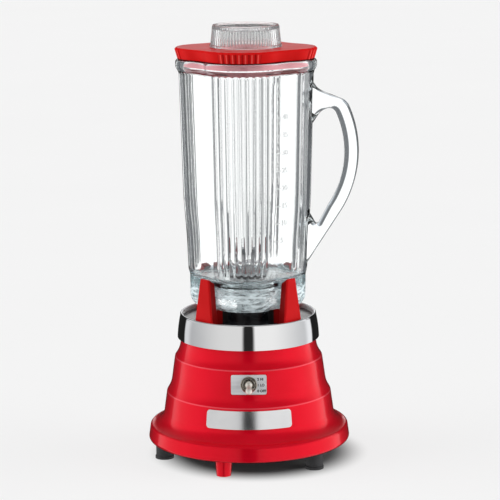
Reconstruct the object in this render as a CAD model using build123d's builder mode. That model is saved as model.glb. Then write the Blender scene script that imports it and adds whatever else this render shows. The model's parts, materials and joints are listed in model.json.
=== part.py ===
from build123d import *
import os
from math import atan2, cos, degrees, radians, sin, sqrt, tan

os.makedirs("parts", exist_ok=True)

# Countertop blender. Millimetres, +Z up, origin on the counter under the drive axis, front towards -Y.

# Base housing: a stepped casting, from the counter upwards
FOOT_H = 15.0  # rim above the counter
RIM_R = 90.2
RIM_H = 12.5
RIM_ROLL = 3.0
SKIRT_H = 13.5  # shoulder between rim and lower tier
LOWER_TIER_R = 76.1
LOWER_TIER_H = 17.3
LOWER_SHOULDER_H = 12.7
UPPER_TIER_R = 68.8
UPPER_TIER_H = 19.0
UPPER_SHOULDER_H = 13.0
COLLAR_R = 60.8
COLLAR_H = 5.5
NECK_R = 58.4  # spigot inside the trim ring
NECK_H = 12.5
TIER_DRAFT = 8.0  # degrees
HOUSING_WALL = 3.0
SHOULDER_TURN = 0.84  # where along its run a shoulder turns from hollow to round

# Trim ring, deck and the cradle that holds the jar
RING_H = 22.0
RING_FOOT_R = 63.3
RING_TOP_R = 60.6
RING_LIP = 1.6  # wall at the ring's top
DECK_T = 2.5
DECK_BOSS_PLAY = 5.5  # between the boss and the cradle's arms
DECK_BOSS_H = 7.5
DECK_BOSS_WALL = 2.5
DECK_BORE_R = 11.0
CRADLE_T = 3.0
CRADLE_LIP = 1.0  # cradle plate inside the arms' ends
SEAT_RISE = 15.0  # jar's seat above the cradle plate
ARM_W = 11.0
ARM_REACH = 5.0  # arm's inner end inside the jar's well
POST_H = 44.5  # post above the cradle plate
JAR_PLAY = 1.8  # between the posts and the jar's valleys
POST_FOOT_DEPTH = 10.0
POST_FOOT_W = 24.0
POST_FOOT_INNER_W = 19.2
POST_TOP_DEPTH = 7.6
POST_TOP_W = 10.0
POST_TOP_SLOPE = 38.0  # degrees
POST_ROUND = 1.2
CRADLE_SCREW_SPOT_R = 50.0

# Feet, bottom plate and fasteners
FOOT_ANGLES = {"foot_left": -78.75, "foot_right": 47.5, "foot_rear": 165.5}  # from the front
LEG_ANGLE = -16.8
LEG_R = 6.4
LEG_DRAFT = 5.0  # degrees
LEG_CLEAR = 0.6
FOOT_INSET = 12.7  # foot's centre inside the rim
FOOT_R = 7.6
FOOT_LIP = 0.7
FOOT_LIP_H = 2.2
FOOT_SINK_H = 5.0  # depth of the foot's screw recess
BOSS_R = 6.5
PLATE_SINK = 1.5  # bottom plate above the rim's lower edge
PLATE_T = 2.0
VENT_COUNT = 14
VENT_SPOT_R = 42.0
VENT_L = 22.0
VENT_W = 4.0
SCREW_R = 2.0
SCREW_HEAD_R = 3.8
SCREW_HEAD_H = 2.4
SCREW_GRIP = 9.0
GROMMET_R = 4.9
GROMMET_BORE_R = 3.0
GROMMET_NECK_R = 3.9
GROMMET_FLANGE_T = 1.6

# Toggle switch on the upper tier and the plate on the lower tier
SWITCH_RISE = 8.5  # switch above the foot of the upper tier
SWITCH_PLATE_W = 31.0
SWITCH_PLATE_H = 17.2
SWITCH_PLATE_T = 1.2
SWITCH_PLATE_ROUND = 1.6
SWITCH_SINK = 1.9  # plate's seat below the tier's surface
SWITCH_PAD_STEP = 1.0  # pad behind the housing's wall
SWITCH_PAD_W = 24.0
SWITCH_PAD_H = 17.0
BUSHING_R = 5.6
BUSHING_BORE_R = 4.2
BUSHING_OUT = 3.6  # beyond the plate's face
NUT_R = 7.2
NUT_T = 2.0
SWITCH_BODY_W = 15.0
SWITCH_BODY_H = 25.0
SWITCH_BODY_D = 17.0
TERMINAL_L = 7.0
LEVER_L = 18.5
LEVER_BALL_R = 3.9
LEVER_ROOT_R = 1.8
LEVER_TIP_R = 2.9
LEVER_SWING = 15.0  # degrees each side of square
LEVER_PIN_R = 0.8
BADGE_ARC = 58.0  # degrees
BADGE_T = 1.2
BADGE_MARGIN = 0.7  # tier left bare above and below
BADGE_ROUND = 3.0

# Motor inside the housing
FIT = 0.05  # radial clearance of fitted and running pieces
GAP = 0.3  # clearance of loose pieces
SHAFT_R = 4.0
SHAFT_TAIL = 1.0  # shaft below the fan
STATOR_W = 76.0
STATOR_D = 58.0
STATOR_H = 30.0
STATOR_DROP = 26.0  # stator below the housing's top wall
STATOR_BORE_R = 20.0
STATOR_ROUND = 6.0
COIL_W = 8.0
COIL_T = 6.5
COIL_SPAN = 32.0  # between the middles of the coil's legs
COIL_X = 26.5
COIL_RISE = 9.5
ROTOR_GAP = 0.5
ROTOR_TEETH = 12
ROTOR_SLOT_W = 3.0
ROTOR_SLOT_DEPTH = 7.0
WINDING_R = 16.5
WINDING_H = 5.0
COMMUTATOR_R = 11.0
COMMUTATOR_H = 14.0
COMMUTATOR_BARS = 24
BEARING_R = 11.0
BEARING_H = 7.0
BRACKET_T = 4.0
BRACKET_R = 46.0
BRACKET_DROP = 4.0  # boss between bracket and housing
BRACKET_SPOT_R = 38.0
HUB_WALL = 3.0
HUB_H = 11.0
BOLT_X = 33.4
BOLT_Y = 24.4
SPACER_R = 4.4
LOWER_BRACKET_DROP = 24.0  # lower bracket below the stator
BRUSH_W = 6.0
BRUSH_H = 8.0
BRUSH_L = 12.0
HOLDER_WALL = 1.0
HOLDER_L = 18.0
SPRING_FOLDS = 4
FAN_R = 36.0
FAN_DISC_T = 1.6
FAN_BLADE_H = 6.0
FAN_BLADES = 9
FAN_HUB_R = 8.0
SEAL_T = 2.6

# Drive between base and jar
STUD_HUB_R = 9.0
STUD_HUB_H = 6.5
STUD_W = 8.0
STUD_H = 11.5
COUPLING_R = 9.0

# Jar: clover section, all sizes about the drive axis
JAR_TURN = -5.5  # degrees, how the jar stands in its cradle
VALLEY_ROUND = 60.0
VALLEY_DEPTH = 7.0
JAR_H = 217.5
JAR_EDGE_INSET = 3.6  # bottom edge inside the foot
JAR_EDGE_H = 5.5
JAR_FOOT_R = 51.6
JAR_FOOT_H = 27.0
JAR_STEP_H = 4.0
JAR_STEP_W = 1.3  # body beyond the foot
JAR_FLARE_R = 54.0
JAR_FLARE_H = 61.0
JAR_BELLY_R = 56.5
JAR_BELLY_H = 93.0
JAR_NECK_R = 59.5
JAR_RIM_R = 62.2
JAR_RIM_H = 8.5
JAR_RIM_SLOPE_H = 5.0
JAR_RIM_ROUND = 2.4
JAR_WALL = 3.6
FLOOR_T = 7.0
FLOOR_ROUND = 9.0
WELL_WALL = 5.0  # glass between the well and the foot's valleys
WELL_DRAFT = 6.0  # degrees
WELL_H = 17.0
FLOOR_BORE_R = 10.0
FLUTES = 9  # on each fluted lobe
FLUTE_ARC = 54.0  # degrees
FLUTE_DEPTH = 0.7
FLUTE_FADE_H = 7.0

# Handle, in the upright plane through the axis; heights above the jar's seat
HANDLE_W = 15.0
HANDLE_T = 11.0
HANDLE_TOP_H = 193.0
HANDLE_CORNER_R = 88.0
HANDLE_CORNER_H = 180.5
HANDLE_REACH_R = 98.7
HANDLE_REACH_H = 134.0
HANDLE_BEND_R = 82.0
HANDLE_BEND_H = 82.0
HANDLE_ROOT_R = 38.0  # where its lines start, cut back to the middle of the jar's wall
HANDLE_FOOT_H = 13.4
HANDLE_CORNER_ROUND = 7.0
HANDLE_ROUND = 3.0

# Blade unit on the jar's floor
GASKET_T = 1.5
GASKET_R = 16.5
HOUSING_FLANGE_R = 16.0
HOUSING_FLANGE_T = 3.0
HOUSING_DOME_R = 9.0
HOUSING_DOME_H = 6.0
BARREL_R = 9.5
BUSH_R = 6.4
WASHER_T = 1.3
LOCK_NUT_R = 17.0
LOCK_NUT_T = 5.7
LOCK_NUT_NOTCHES = 6
BLADE_SHAFT_R = 3.9
BLADE_T = 1.8
BLADE_W = 12.0
BLADE_TIP_W = 4.0
BLADE_FLAT = 10.0  # half length of the level middle
BLADE_REACH = 24.5
BLADE_RISE = 15.0
BLADE_FALL = 4.5
BLADE_NUT_W = 11.0
BLADE_NUT_H = 5.5

# Lid and measuring cap
LID_TOP_R = 62.0
LID_EDGE_R = 59.3
LID_VALLEY_DEPTH = 9.0
LID_H = 10.6
LID_ROUND = 1.5
LID_PLUG_DEPTH = 5.4
LID_PLUG_PLAY = 0.9
LID_PLUG_WALL = 3.0
LID_CROWN_T = 3.2
LID_BORE_R = 26.5
LID_COLLAR_WALL = 2.4
LID_RIBS = 7
LID_RIB_ARC = 36.0  # degrees
LID_RIB_H = 0.7
CAP_FLANGE_R = 31.8
CAP_FLANGE_T = 2.4
CAP_R = 31.0
CAP_TOP_R = 29.4
CAP_H = 19.4
CAP_WALL = 2.0
CAP_TOP_T = 2.0
CAP_RIM_H = 1.0
CAP_PLUG_R = 26.1
CAP_PLUG_DEPTH = 13.0
CAP_FLUTES = 36
CAP_FLUTE_DEPTH = 0.6

# Heights and radii that follow from the sizes above
rim_top = FOOT_H + RIM_H
lower_tier_z = rim_top + SKIRT_H
lower_tier_top = lower_tier_z + LOWER_TIER_H
upper_tier_z = lower_tier_top + LOWER_SHOULDER_H
upper_tier_top = upper_tier_z + UPPER_TIER_H
collar_z = upper_tier_top + UPPER_SHOULDER_H
ledge_z = collar_z + COLLAR_H
neck_top = ledge_z + NECK_H
roof_z = neck_top - HOUSING_WALL
draft_run = tan(radians(TIER_DRAFT))
lower_tier_top_r = LOWER_TIER_R - LOWER_TIER_H * draft_run
upper_tier_top_r = UPPER_TIER_R - UPPER_TIER_H * draft_run
rim_top_r = RIM_R - (RIM_H - RIM_ROLL) * draft_run
ledge_r = COLLAR_R - COLLAR_H * draft_run
switch_pad_t = HOUSING_WALL + SWITCH_PAD_STEP
plate_r = RIM_R - HOUSING_WALL - 2 * GAP
plate_z = FOOT_H + PLATE_SINK
plate_top = plate_z + PLATE_T
foot_spot_r = RIM_R - FOOT_INSET
cradle_top = neck_top + CRADLE_T
deck_top = cradle_top + DECK_T
boss_top = deck_top + DECK_BOSS_H
ring_top = ledge_z + RING_H
seat_z = cradle_top + SEAT_RISE
floor_z = seat_z + WELL_H + FLOOR_T
well_roof_z = seat_z + WELL_H
jar_top = seat_z + JAR_H
jar_edge_r = JAR_FOOT_R - JAR_EDGE_INSET
jar_waist_r = JAR_FOOT_R + JAR_STEP_W
well_r = jar_edge_r - VALLEY_DEPTH - WELL_WALL
arm_inner_r = well_r - ARM_REACH
deck_boss_r = arm_inner_r - DECK_BOSS_PLAY
post_inner_r = JAR_FOOT_R - VALLEY_DEPTH + JAR_PLAY
neck_h = JAR_H - JAR_RIM_H - JAR_RIM_SLOPE_H
lid_top = jar_top + LID_H
bracket_top = roof_z - BRACKET_DROP
bracket_z = bracket_top - BRACKET_T
stator_top = roof_z - STATOR_DROP
stator_z = stator_top - STATOR_H
lower_bracket_top = stator_z - LOWER_BRACKET_DROP
lower_bracket_z = lower_bracket_top - BRACKET_T
hub_r = BEARING_R + HUB_WALL
bearing_z = bracket_z - HUB_H + BRACKET_T
rotor_r = STATOR_BORE_R - ROTOR_GAP
commutator_z = stator_z - WINDING_H - COMMUTATOR_H
brush_z = commutator_z + COMMUTATOR_H / 2
fan_top = lower_bracket_z - BEARING_H - GAP
stud_z = boss_top - STUD_HUB_H
stud_top = boss_top + STUD_H


def around(radius, angle):
    """Point in plan at an angle from the front, turning towards +X."""
    return (radius * sin(radians(angle)), -radius * cos(radians(angle)))


def polar(radius, angle):
    """Point in a sketch at an angle from its x direction."""
    return (radius * cos(radians(angle)), radius * sin(radians(angle)))


def level(z):
    """Level plane on the drive axis."""
    return Plane.XY.offset(z)


def upright(x, y):
    """Upright plane through a point in plan, for profiles that turn about it."""
    return Plane(origin=(x, y, 0), x_dir=(1, 0, 0), z_dir=(0, -1, 0))


def jar_level(z):
    """Level plane that is turned with the jar."""
    return Plane(origin=(0, 0, z), x_dir=(*polar(1, JAR_TURN), 0), z_dir=(0, 0, 1))


def jar_upright():
    """Upright plane through the handle, turned with the jar."""
    return Plane(origin=(0, 0, 0), x_dir=(*polar(1, JAR_TURN), 0), z_dir=(*polar(1, JAR_TURN - 90), 0))


class Clover(BaseSketchObject):
    """Four round lobes on the axes, joined by hollow valleys on the diagonals.

    Flutes are pressed into the middle of each lobe, or stand out as ribs where their depth is negative.
    """

    def __init__(
        self, lobe_r, valley_depth, flutes=0, flute_arc=0, flute_depth=0, plain_lobes=(), mode=Mode.ADD
    ):
        valley_r = lobe_r - valley_depth
        centre = valley_r + VALLEY_ROUND
        over = lobe_r**2 + centre**2 - sqrt(2) * lobe_r * centre - VALLEY_ROUND**2
        lobe_round = over / (2 * lobe_r + 2 * VALLEY_ROUND - sqrt(2) * centre)
        lobe_centre = lobe_r - lobe_round
        share = lobe_round / (lobe_round + VALLEY_ROUND)
        across = centre / sqrt(2)
        meet_angle = degrees(atan2(share * across, lobe_centre * (1 - share) + share * across))

        def lobe_point(turn, angle, dip=0):
            sideways = lobe_centre * sin(radians(angle))
            reach = lobe_centre * cos(radians(angle)) + sqrt(lobe_round**2 - sideways**2)
            return polar(reach - dip, turn + angle)

        with BuildSketch() as outline:
            with BuildLine():
                for turn in range(0, 360, 90):
                    stops = [-meet_angle, meet_angle]
                    if flutes and turn not in plain_lobes:
                        stops[1:1] = [flute_arc * (step / flutes - 0.5) for step in range(flutes + 1)]
                    for start, end in zip(stops, stops[1:]):
                        middle = (start + end) / 2
                        dip = flute_depth if abs(middle) < flute_arc / 2 else 0
                        ThreePointArc(
                            lobe_point(turn, start),
                            lobe_point(turn, middle, dip),
                            lobe_point(turn, end),
                        )
                    ThreePointArc(
                        lobe_point(turn, meet_angle),
                        polar(valley_r, turn + 45),
                        lobe_point(turn + 90, -meet_angle),
                    )
            make_face()
        super().__init__(obj=outline.sketch, mode=mode)


class Fluted(BaseSketchObject):
    """Round outline with shallow flutes pressed in all the way round."""

    def __init__(self, radius, flutes, depth, mode=Mode.ADD):
        step = 360 / flutes
        with BuildSketch() as outline:
            with BuildLine():
                for index in range(flutes):
                    turn = index * step
                    middle = polar(radius - depth, turn + step / 2)
                    ThreePointArc(polar(radius, turn), middle, polar(radius, turn + step))
            make_face()
        super().__init__(obj=outline.sketch, mode=mode)


def shoulder(top, foot):
    """Two arcs that flare from one wall's foot to the next wall's top, tangent to both drafted walls."""
    meet = Vector(top) + SHOULDER_TURN * (Vector(foot) - Vector(top))
    upward = polar(1, 90 + TIER_DRAFT)
    TangentArc(top, meet, tangent=-Vector(upward))
    TangentArc(foot, meet, tangent=upward)


def housing_side(rim_foot):
    """Outside of the housing, from the top of its neck down to a point on the rim."""
    collar_foot = (COLLAR_R, collar_z)
    upper_top = (upper_tier_top_r, upper_tier_top)
    upper_foot = (UPPER_TIER_R, upper_tier_z)
    lower_top = (lower_tier_top_r, lower_tier_top)
    lower_foot = (LOWER_TIER_R, lower_tier_z)
    rim_edge = (rim_top_r, rim_top)
    Polyline((NECK_R, neck_top), (NECK_R, ledge_z), (ledge_r, ledge_z), collar_foot)
    shoulder(collar_foot, upper_top)
    Line(upper_top, upper_foot)
    shoulder(upper_foot, lower_top)
    Line(lower_top, lower_foot)
    shoulder(lower_foot, rim_edge)
    Line(rim_edge, rim_foot)


# Switch plane: its middle lies on the upper tier's front, square to the sloping wall
switch_y = -(UPPER_TIER_R - SWITCH_RISE * draft_run)
switch_out = (0, -cos(radians(TIER_DRAFT)), sin(radians(TIER_DRAFT)))
switch_plane = Plane(origin=(0, switch_y, upper_tier_z + SWITCH_RISE), x_dir=(1, 0, 0), z_dir=switch_out)
switch_seat = switch_plane.offset(-SWITCH_SINK)
switch_face = switch_seat.offset(SWITCH_PLATE_T)
switch_back = switch_seat.offset(-switch_pad_t)
pivot = switch_face.offset(HOLDER_WALL).origin
pin_plane = Plane(origin=pivot, x_dir=(0, 1, 0), z_dir=(1, 0, 0))

foot_spots = [around(foot_spot_r, angle) for angle in FOOT_ANGLES.values()]
leg_spot = around(foot_spot_r, LEG_ANGLE)
leg_top_r = LEG_R + plate_top * tan(radians(LEG_DRAFT))
bolt_spots = [(x, y) for x in (-BOLT_X, BOLT_X) for y in (-BOLT_Y, BOLT_Y)]
grommet_z = plate_top + GROMMET_NECK_R + GAP
pieces = {}

# Hollow of the housing, with its bosses and the switch's pad left standing
with BuildPart() as hollow:
    with BuildSketch(Plane.XZ):
        with BuildLine():
            below = FOOT_H - 2 * HOUSING_WALL
            Line((-HOUSING_WALL, neck_top), (NECK_R, neck_top))
            housing_side((RIM_R + (FOOT_H + RIM_ROLL - below) * draft_run, below))
            Polyline(
                (RIM_R + (FOOT_H + RIM_ROLL - below) * draft_run, below),
                (-HOUSING_WALL, below),
                (-HOUSING_WALL, neck_top),
            )
        make_face()
        offset(amount=-HOUSING_WALL, kind=Kind.INTERSECTION, mode=Mode.REPLACE)
    revolve()
    with BuildSketch(level(plate_top)):
        with Locations(*foot_spots):
            Circle(BOSS_R)
    extrude(amount=roof_z, mode=Mode.SUBTRACT)
    with BuildSketch(level(bracket_top)):
        with PolarLocations(BRACKET_SPOT_R, 4):
            Circle(BOSS_R)
    extrude(amount=roof_z, mode=Mode.SUBTRACT)
    with BuildSketch(switch_back):
        Rectangle(SWITCH_PAD_W, SWITCH_PAD_H)
    extrude(amount=RIM_R, mode=Mode.SUBTRACT)
    with BuildSketch():
        with Locations(leg_spot):
            Circle(leg_top_r)
    extrude(amount=roof_z, mode=Mode.SUBTRACT)

with BuildPart() as base_housing:
    with BuildSketch(Plane.XZ):
        with BuildLine():
            Line((0, neck_top), (NECK_R, neck_top))
            housing_side((RIM_R, FOOT_H + RIM_ROLL))
            RadiusArc((RIM_R, FOOT_H + RIM_ROLL), (RIM_R - RIM_ROLL, FOOT_H), RIM_ROLL)
            Polyline((RIM_R - RIM_ROLL, FOOT_H), (0, FOOT_H), (0, neck_top))
        make_face()
    revolve()
    add(hollow.part, mode=Mode.SUBTRACT)
    with BuildSketch(level(LEG_CLEAR)):
        with Locations(leg_spot):
            Circle(LEG_R)
    extrude(amount=plate_top, taper=-LEG_DRAFT)
    with BuildSketch(level(roof_z)):
        Circle(hub_r + GAP)
    extrude(amount=neck_top, mode=Mode.SUBTRACT)
    with BuildSketch(level(neck_top)):
        with PolarLocations(CRADLE_SCREW_SPOT_R, 4):
            Circle(SCREW_R + FIT)
    extrude(amount=-NECK_H, mode=Mode.SUBTRACT)
    with BuildSketch(level(plate_top)):
        with Locations(*foot_spots):
            Circle(SCREW_R + FIT)
    extrude(amount=SCREW_GRIP + GAP, mode=Mode.SUBTRACT)
    with BuildSketch(level(bracket_top)):
        with PolarLocations(BRACKET_SPOT_R, 4):
            Circle(SCREW_R + FIT)
    extrude(amount=BRACKET_DROP + GAP, mode=Mode.SUBTRACT)
    with BuildSketch(switch_seat):
        RectangleRounded(SWITCH_PLATE_W + 2 * GAP, SWITCH_PLATE_H + 2 * GAP, SWITCH_PLATE_ROUND)
    extrude(amount=RIM_R, mode=Mode.SUBTRACT)
    with BuildSketch(switch_back):
        Circle(BUSHING_R + FIT)
    extrude(amount=switch_pad_t, mode=Mode.SUBTRACT)
    with BuildSketch(Plane.XZ.offset(-RIM_R)):
        with Locations((0, grommet_z)):
            Circle(GROMMET_NECK_R + FIT)
    extrude(amount=2 * HOUSING_WALL, mode=Mode.SUBTRACT)
pieces["base_housing"] = base_housing

with BuildPart() as trim_ring:
    with BuildSketch(Plane.XZ):
        with BuildLine():
            bore_r = NECK_R + FIT
            Polyline((bore_r, ring_top - RING_LIP / 2), (bore_r, ledge_z), (RING_FOOT_R, ledge_z))
            ThreePointArc(
                (RING_FOOT_R, ledge_z),
                ((RING_FOOT_R + RING_TOP_R) / 2 + RING_LIP / 4, ledge_z + RING_H / 2),
                (RING_TOP_R, ring_top - RING_LIP),
            )
            ThreePointArc(
                (RING_TOP_R, ring_top - RING_LIP),
                (bore_r + RING_LIP / 2, ring_top),
                (bore_r, ring_top - RING_LIP / 2),
            )
        make_face()
    revolve()
pieces["trim_ring"] = trim_ring

# One post with the arm that carries the jar, drawn along +X
with BuildPart() as post:
    foot_outer_r = post_inner_r + POST_FOOT_DEPTH
    top_outer_r = post_inner_r + POST_TOP_DEPTH
    with BuildSketch(level(neck_top)):
        with BuildLine():
            Polyline(
                (post_inner_r, -POST_FOOT_INNER_W / 2),
                (foot_outer_r, -POST_FOOT_W / 2),
                (foot_outer_r, POST_FOOT_W / 2),
                (post_inner_r, POST_FOOT_INNER_W / 2),
                close=True,
            )
        make_face()
    with BuildSketch(level(cradle_top + POST_H)):
        with Locations((post_inner_r, 0)):
            Rectangle(POST_TOP_DEPTH, POST_TOP_W, align=(Align.MIN, Align.CENTER))
    loft(ruled=True)
    with BuildSketch(Plane.XZ):
        with BuildLine():
            slope_fall = POST_TOP_DEPTH * tan(radians(POST_TOP_SLOPE))
            Polyline(
                (0, cradle_top + POST_H - slope_fall * top_outer_r / POST_TOP_DEPTH),
                (top_outer_r, cradle_top + POST_H),
                (0, cradle_top + POST_H),
                close=True,
            )
        make_face()
    extrude(amount=POST_FOOT_W, both=True, mode=Mode.SUBTRACT)
    fillet(post.edges().filter_by(lambda edge: edge.center().Z > deck_top), radius=POST_ROUND)
    with BuildSketch(level(neck_top)):
        with Locations((arm_inner_r, 0)):
            Rectangle(post_inner_r - arm_inner_r + POST_ROUND, ARM_W, align=(Align.MIN, Align.CENTER))
    extrude(amount=CRADLE_T + SEAT_RISE)

with BuildPart() as jar_cradle:
    with BuildSketch(level(neck_top)):
        Circle(NECK_R - GAP)
        Circle(arm_inner_r - CRADLE_LIP, mode=Mode.SUBTRACT)
    extrude(amount=CRADLE_T)
    with PolarLocations(0, 4, start_angle=45):
        add(post.part)
    with Locations(level(cradle_top)):
        with PolarLocations(CRADLE_SCREW_SPOT_R, 4):
            CounterSinkHole(SCREW_R + FIT, SCREW_HEAD_R + FIT, depth=CRADLE_T)
pieces["jar_cradle"] = jar_cradle

with BuildPart() as cradle_screws:
    with BuildSketch(level(cradle_top)):
        with PolarLocations(CRADLE_SCREW_SPOT_R, 4):
            Circle(SCREW_R)
    extrude(amount=-SCREW_GRIP)
    with BuildSketch(level(cradle_top)):
        with PolarLocations(CRADLE_SCREW_SPOT_R, 4):
            Circle(SCREW_HEAD_R)
    extrude(amount=SCREW_R - SCREW_HEAD_R, taper=45)
pieces["cradle_screws"] = cradle_screws

with BuildPart() as deck:
    with BuildSketch(Plane.XZ):
        with BuildLine():
            boss_bore_r = deck_boss_r - DECK_BOSS_WALL
            Polyline(
                (DECK_BORE_R, boss_top),
                (deck_boss_r, boss_top),
                (deck_boss_r, deck_top),
                (NECK_R - GAP, deck_top),
                (NECK_R - GAP, cradle_top),
                (boss_bore_r, cradle_top),
                (boss_bore_r, boss_top - DECK_BOSS_WALL),
                (DECK_BORE_R, boss_top - DECK_BOSS_WALL),
                close=True,
            )
        make_face()
    revolve()
    fillet(deck.edges().group_by(Axis.Z)[-1], radius=POST_ROUND)
    with BuildSketch(level(cradle_top)):
        with PolarLocations(0, 4, start_angle=45):
            with Locations((arm_inner_r - GAP, 0)):
                Rectangle(NECK_R, ARM_W + 2 * GAP, align=(Align.MIN, Align.CENTER))
            with Locations((post_inner_r - GAP, 0)):
                Rectangle(NECK_R, POST_FOOT_W + 2 * GAP, align=(Align.MIN, Align.CENTER))
    extrude(amount=DECK_T, mode=Mode.SUBTRACT)
pieces["deck"] = deck

with BuildPart() as shaft_seal:
    with BuildSketch(level(bearing_z + HUB_H)):
        Circle(hub_r)
        Circle(SHAFT_R + FIT, mode=Mode.SUBTRACT)
    extrude(amount=SEAL_T)
pieces["shaft_seal"] = shaft_seal

with BuildPart() as bottom_plate:
    with BuildSketch(level(plate_z)):
        Circle(plate_r)
        with PolarLocations(VENT_SPOT_R, VENT_COUNT):
            SlotOverall(VENT_L, VENT_W, mode=Mode.SUBTRACT)
        with Locations(*foot_spots):
            Circle(SCREW_R + FIT, mode=Mode.SUBTRACT)
        with Locations(leg_spot):
            Circle(leg_top_r + GAP, mode=Mode.SUBTRACT)
    extrude(amount=PLATE_T)
pieces["bottom_plate"] = bottom_plate

for foot_name, foot_spot in zip(FOOT_ANGLES, foot_spots):
    with BuildPart() as foot:
        with BuildSketch(upright(*foot_spot)):
            with BuildLine():
                Polyline(
                    (SCREW_R + FIT, plate_z),
                    (FOOT_R, plate_z),
                    (FOOT_R, FOOT_LIP_H + FOOT_LIP),
                    (FOOT_R + FOOT_LIP, FOOT_LIP_H),
                    (FOOT_R + FOOT_LIP, 0),
                    (SCREW_HEAD_R + GAP, 0),
                    (SCREW_HEAD_R + GAP, FOOT_SINK_H),
                    (SCREW_R + FIT, FOOT_SINK_H),
                    close=True,
                )
            make_face()
        revolve(axis=Axis((*foot_spot, 0), (0, 0, 1)))
    pieces[foot_name] = foot

with BuildPart() as foot_screws:
    with BuildSketch(level(FOOT_SINK_H)):
        with Locations(*foot_spots):
            Circle(SCREW_R)
    extrude(amount=plate_top - FOOT_SINK_H + SCREW_GRIP)
    with BuildSketch(level(FOOT_SINK_H)):
        with Locations(*foot_spots):
            Circle(SCREW_HEAD_R)
    extrude(amount=-SCREW_HEAD_H)
pieces["foot_screws"] = foot_screws

with BuildPart() as cord_grommet:
    with BuildSketch(Plane.XZ.offset(-RIM_R)):
        with Locations((0, grommet_z)):
            Circle(GROMMET_R)
    extrude(amount=-GROMMET_FLANGE_T)
    with BuildSketch(Plane.XZ.offset(-RIM_R)):
        with Locations((0, grommet_z)):
            Circle(GROMMET_NECK_R)
    extrude(amount=HOUSING_WALL + RIM_H * draft_run / 2)
    with BuildSketch(Plane.XZ.offset(-RIM_R - GROMMET_FLANGE_T)):
        with Locations((0, grommet_z)):
            Circle(GROMMET_BORE_R)
    extrude(amount=4 * HOUSING_WALL, mode=Mode.SUBTRACT)
pieces["cord_grommet"] = cord_grommet

# Toggle switch
with BuildPart() as switch_plate:
    with BuildSketch(switch_seat):
        RectangleRounded(SWITCH_PLATE_W, SWITCH_PLATE_H, SWITCH_PLATE_ROUND)
        Circle(BUSHING_R + FIT, mode=Mode.SUBTRACT)
    extrude(amount=SWITCH_PLATE_T)
pieces["switch_plate"] = switch_plate

with BuildPart() as switch_bushing:
    with BuildSketch(switch_back):
        Circle(BUSHING_R)
    extrude(amount=switch_pad_t + SWITCH_PLATE_T + BUSHING_OUT)
    chamfer(switch_bushing.faces().sort_by(Axis.Y)[0].edges(), length=GAP)
    with BuildSketch(switch_back.offset(HOLDER_WALL)):
        Circle(BUSHING_BORE_R)
    extrude(amount=RIM_R, mode=Mode.SUBTRACT)
    with BuildSketch(pin_plane):
        Circle(LEVER_PIN_R + FIT)
    extrude(amount=BUSHING_R, both=True, mode=Mode.SUBTRACT)
pieces["switch_bushing"] = switch_bushing

with BuildPart() as switch_nut:
    with BuildSketch(switch_face):
        Circle(NUT_R)
        Circle(BUSHING_R + FIT, mode=Mode.SUBTRACT)
    extrude(amount=NUT_T)
    chamfer(switch_nut.faces().sort_by(Axis.Y)[0].outer_wire().edges(), length=NUT_T / 4)
pieces["switch_nut"] = switch_nut

with BuildPart() as switch_body:
    with BuildSketch(switch_back):
        RectangleRounded(SWITCH_BODY_W, SWITCH_BODY_H, SWITCH_PLATE_ROUND)
    extrude(amount=-SWITCH_BODY_D)
pieces["switch_body"] = switch_body

with BuildPart() as switch_terminals:
    with BuildSketch(switch_back.offset(-SWITCH_BODY_D)):
        with GridLocations(1, SWITCH_BODY_H / 3, 1, 3):
            Rectangle(SWITCH_BODY_W / 3, HOLDER_WALL)
    extrude(amount=-TERMINAL_L)
pieces["switch_terminals"] = switch_terminals

with BuildPart() as toggle_lever:
    lean = radians(TIER_DRAFT - LEVER_SWING)
    lever_out = (0, -cos(lean), sin(lean))
    lever_plane = Plane(origin=pivot, x_dir=(1, 0, 0), z_dir=(0, -sin(lean), -cos(lean)))
    with BuildSketch(lever_plane):
        with BuildLine():
            ball_top = sqrt(LEVER_BALL_R**2 - LEVER_ROOT_R**2)
            ThreePointArc((0, -LEVER_BALL_R), (LEVER_BALL_R, 0), (LEVER_ROOT_R, ball_top))
            Line((LEVER_ROOT_R, ball_top), (LEVER_TIP_R, LEVER_L - LEVER_TIP_R))
            RadiusArc((LEVER_TIP_R, LEVER_L - LEVER_TIP_R), (0, LEVER_L), -LEVER_TIP_R)
            Line((0, LEVER_L), (0, -LEVER_BALL_R))
        make_face()
    revolve(axis=Axis(pivot, lever_out))
    with BuildSketch(pin_plane):
        Circle(LEVER_PIN_R + FIT)
    extrude(amount=BUSHING_R, both=True, mode=Mode.SUBTRACT)
pieces["toggle_lever"] = toggle_lever

with BuildPart() as toggle_pin:
    with BuildSketch(pin_plane):
        Circle(LEVER_PIN_R)
    extrude(amount=BUSHING_R - GAP, both=True)
pieces["toggle_pin"] = toggle_pin

with BuildPart() as badge:
    wall_top = (lower_tier_top_r + 2 * FIT + BADGE_MARGIN * draft_run, lower_tier_top - BADGE_MARGIN)
    wall_foot = (LOWER_TIER_R + 2 * FIT - BADGE_MARGIN * draft_run, lower_tier_z + BADGE_MARGIN)
    with BuildSketch(Plane.XZ.rotated((0, 0, -90 - BADGE_ARC / 2))):
        with BuildLine():
            Polyline(
                wall_foot,
                (wall_foot[0] + BADGE_T, wall_foot[1]),
                (wall_top[0] + BADGE_T, wall_top[1]),
                wall_top,
                close=True,
            )
        make_face()
    revolve(revolution_arc=BADGE_ARC)
    corners = badge.edges().filter_by(GeomType.LINE).filter_by(lambda edge: edge.length < 2 * BADGE_T)
    fillet(corners, radius=BADGE_ROUND)
pieces["badge"] = badge

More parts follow.
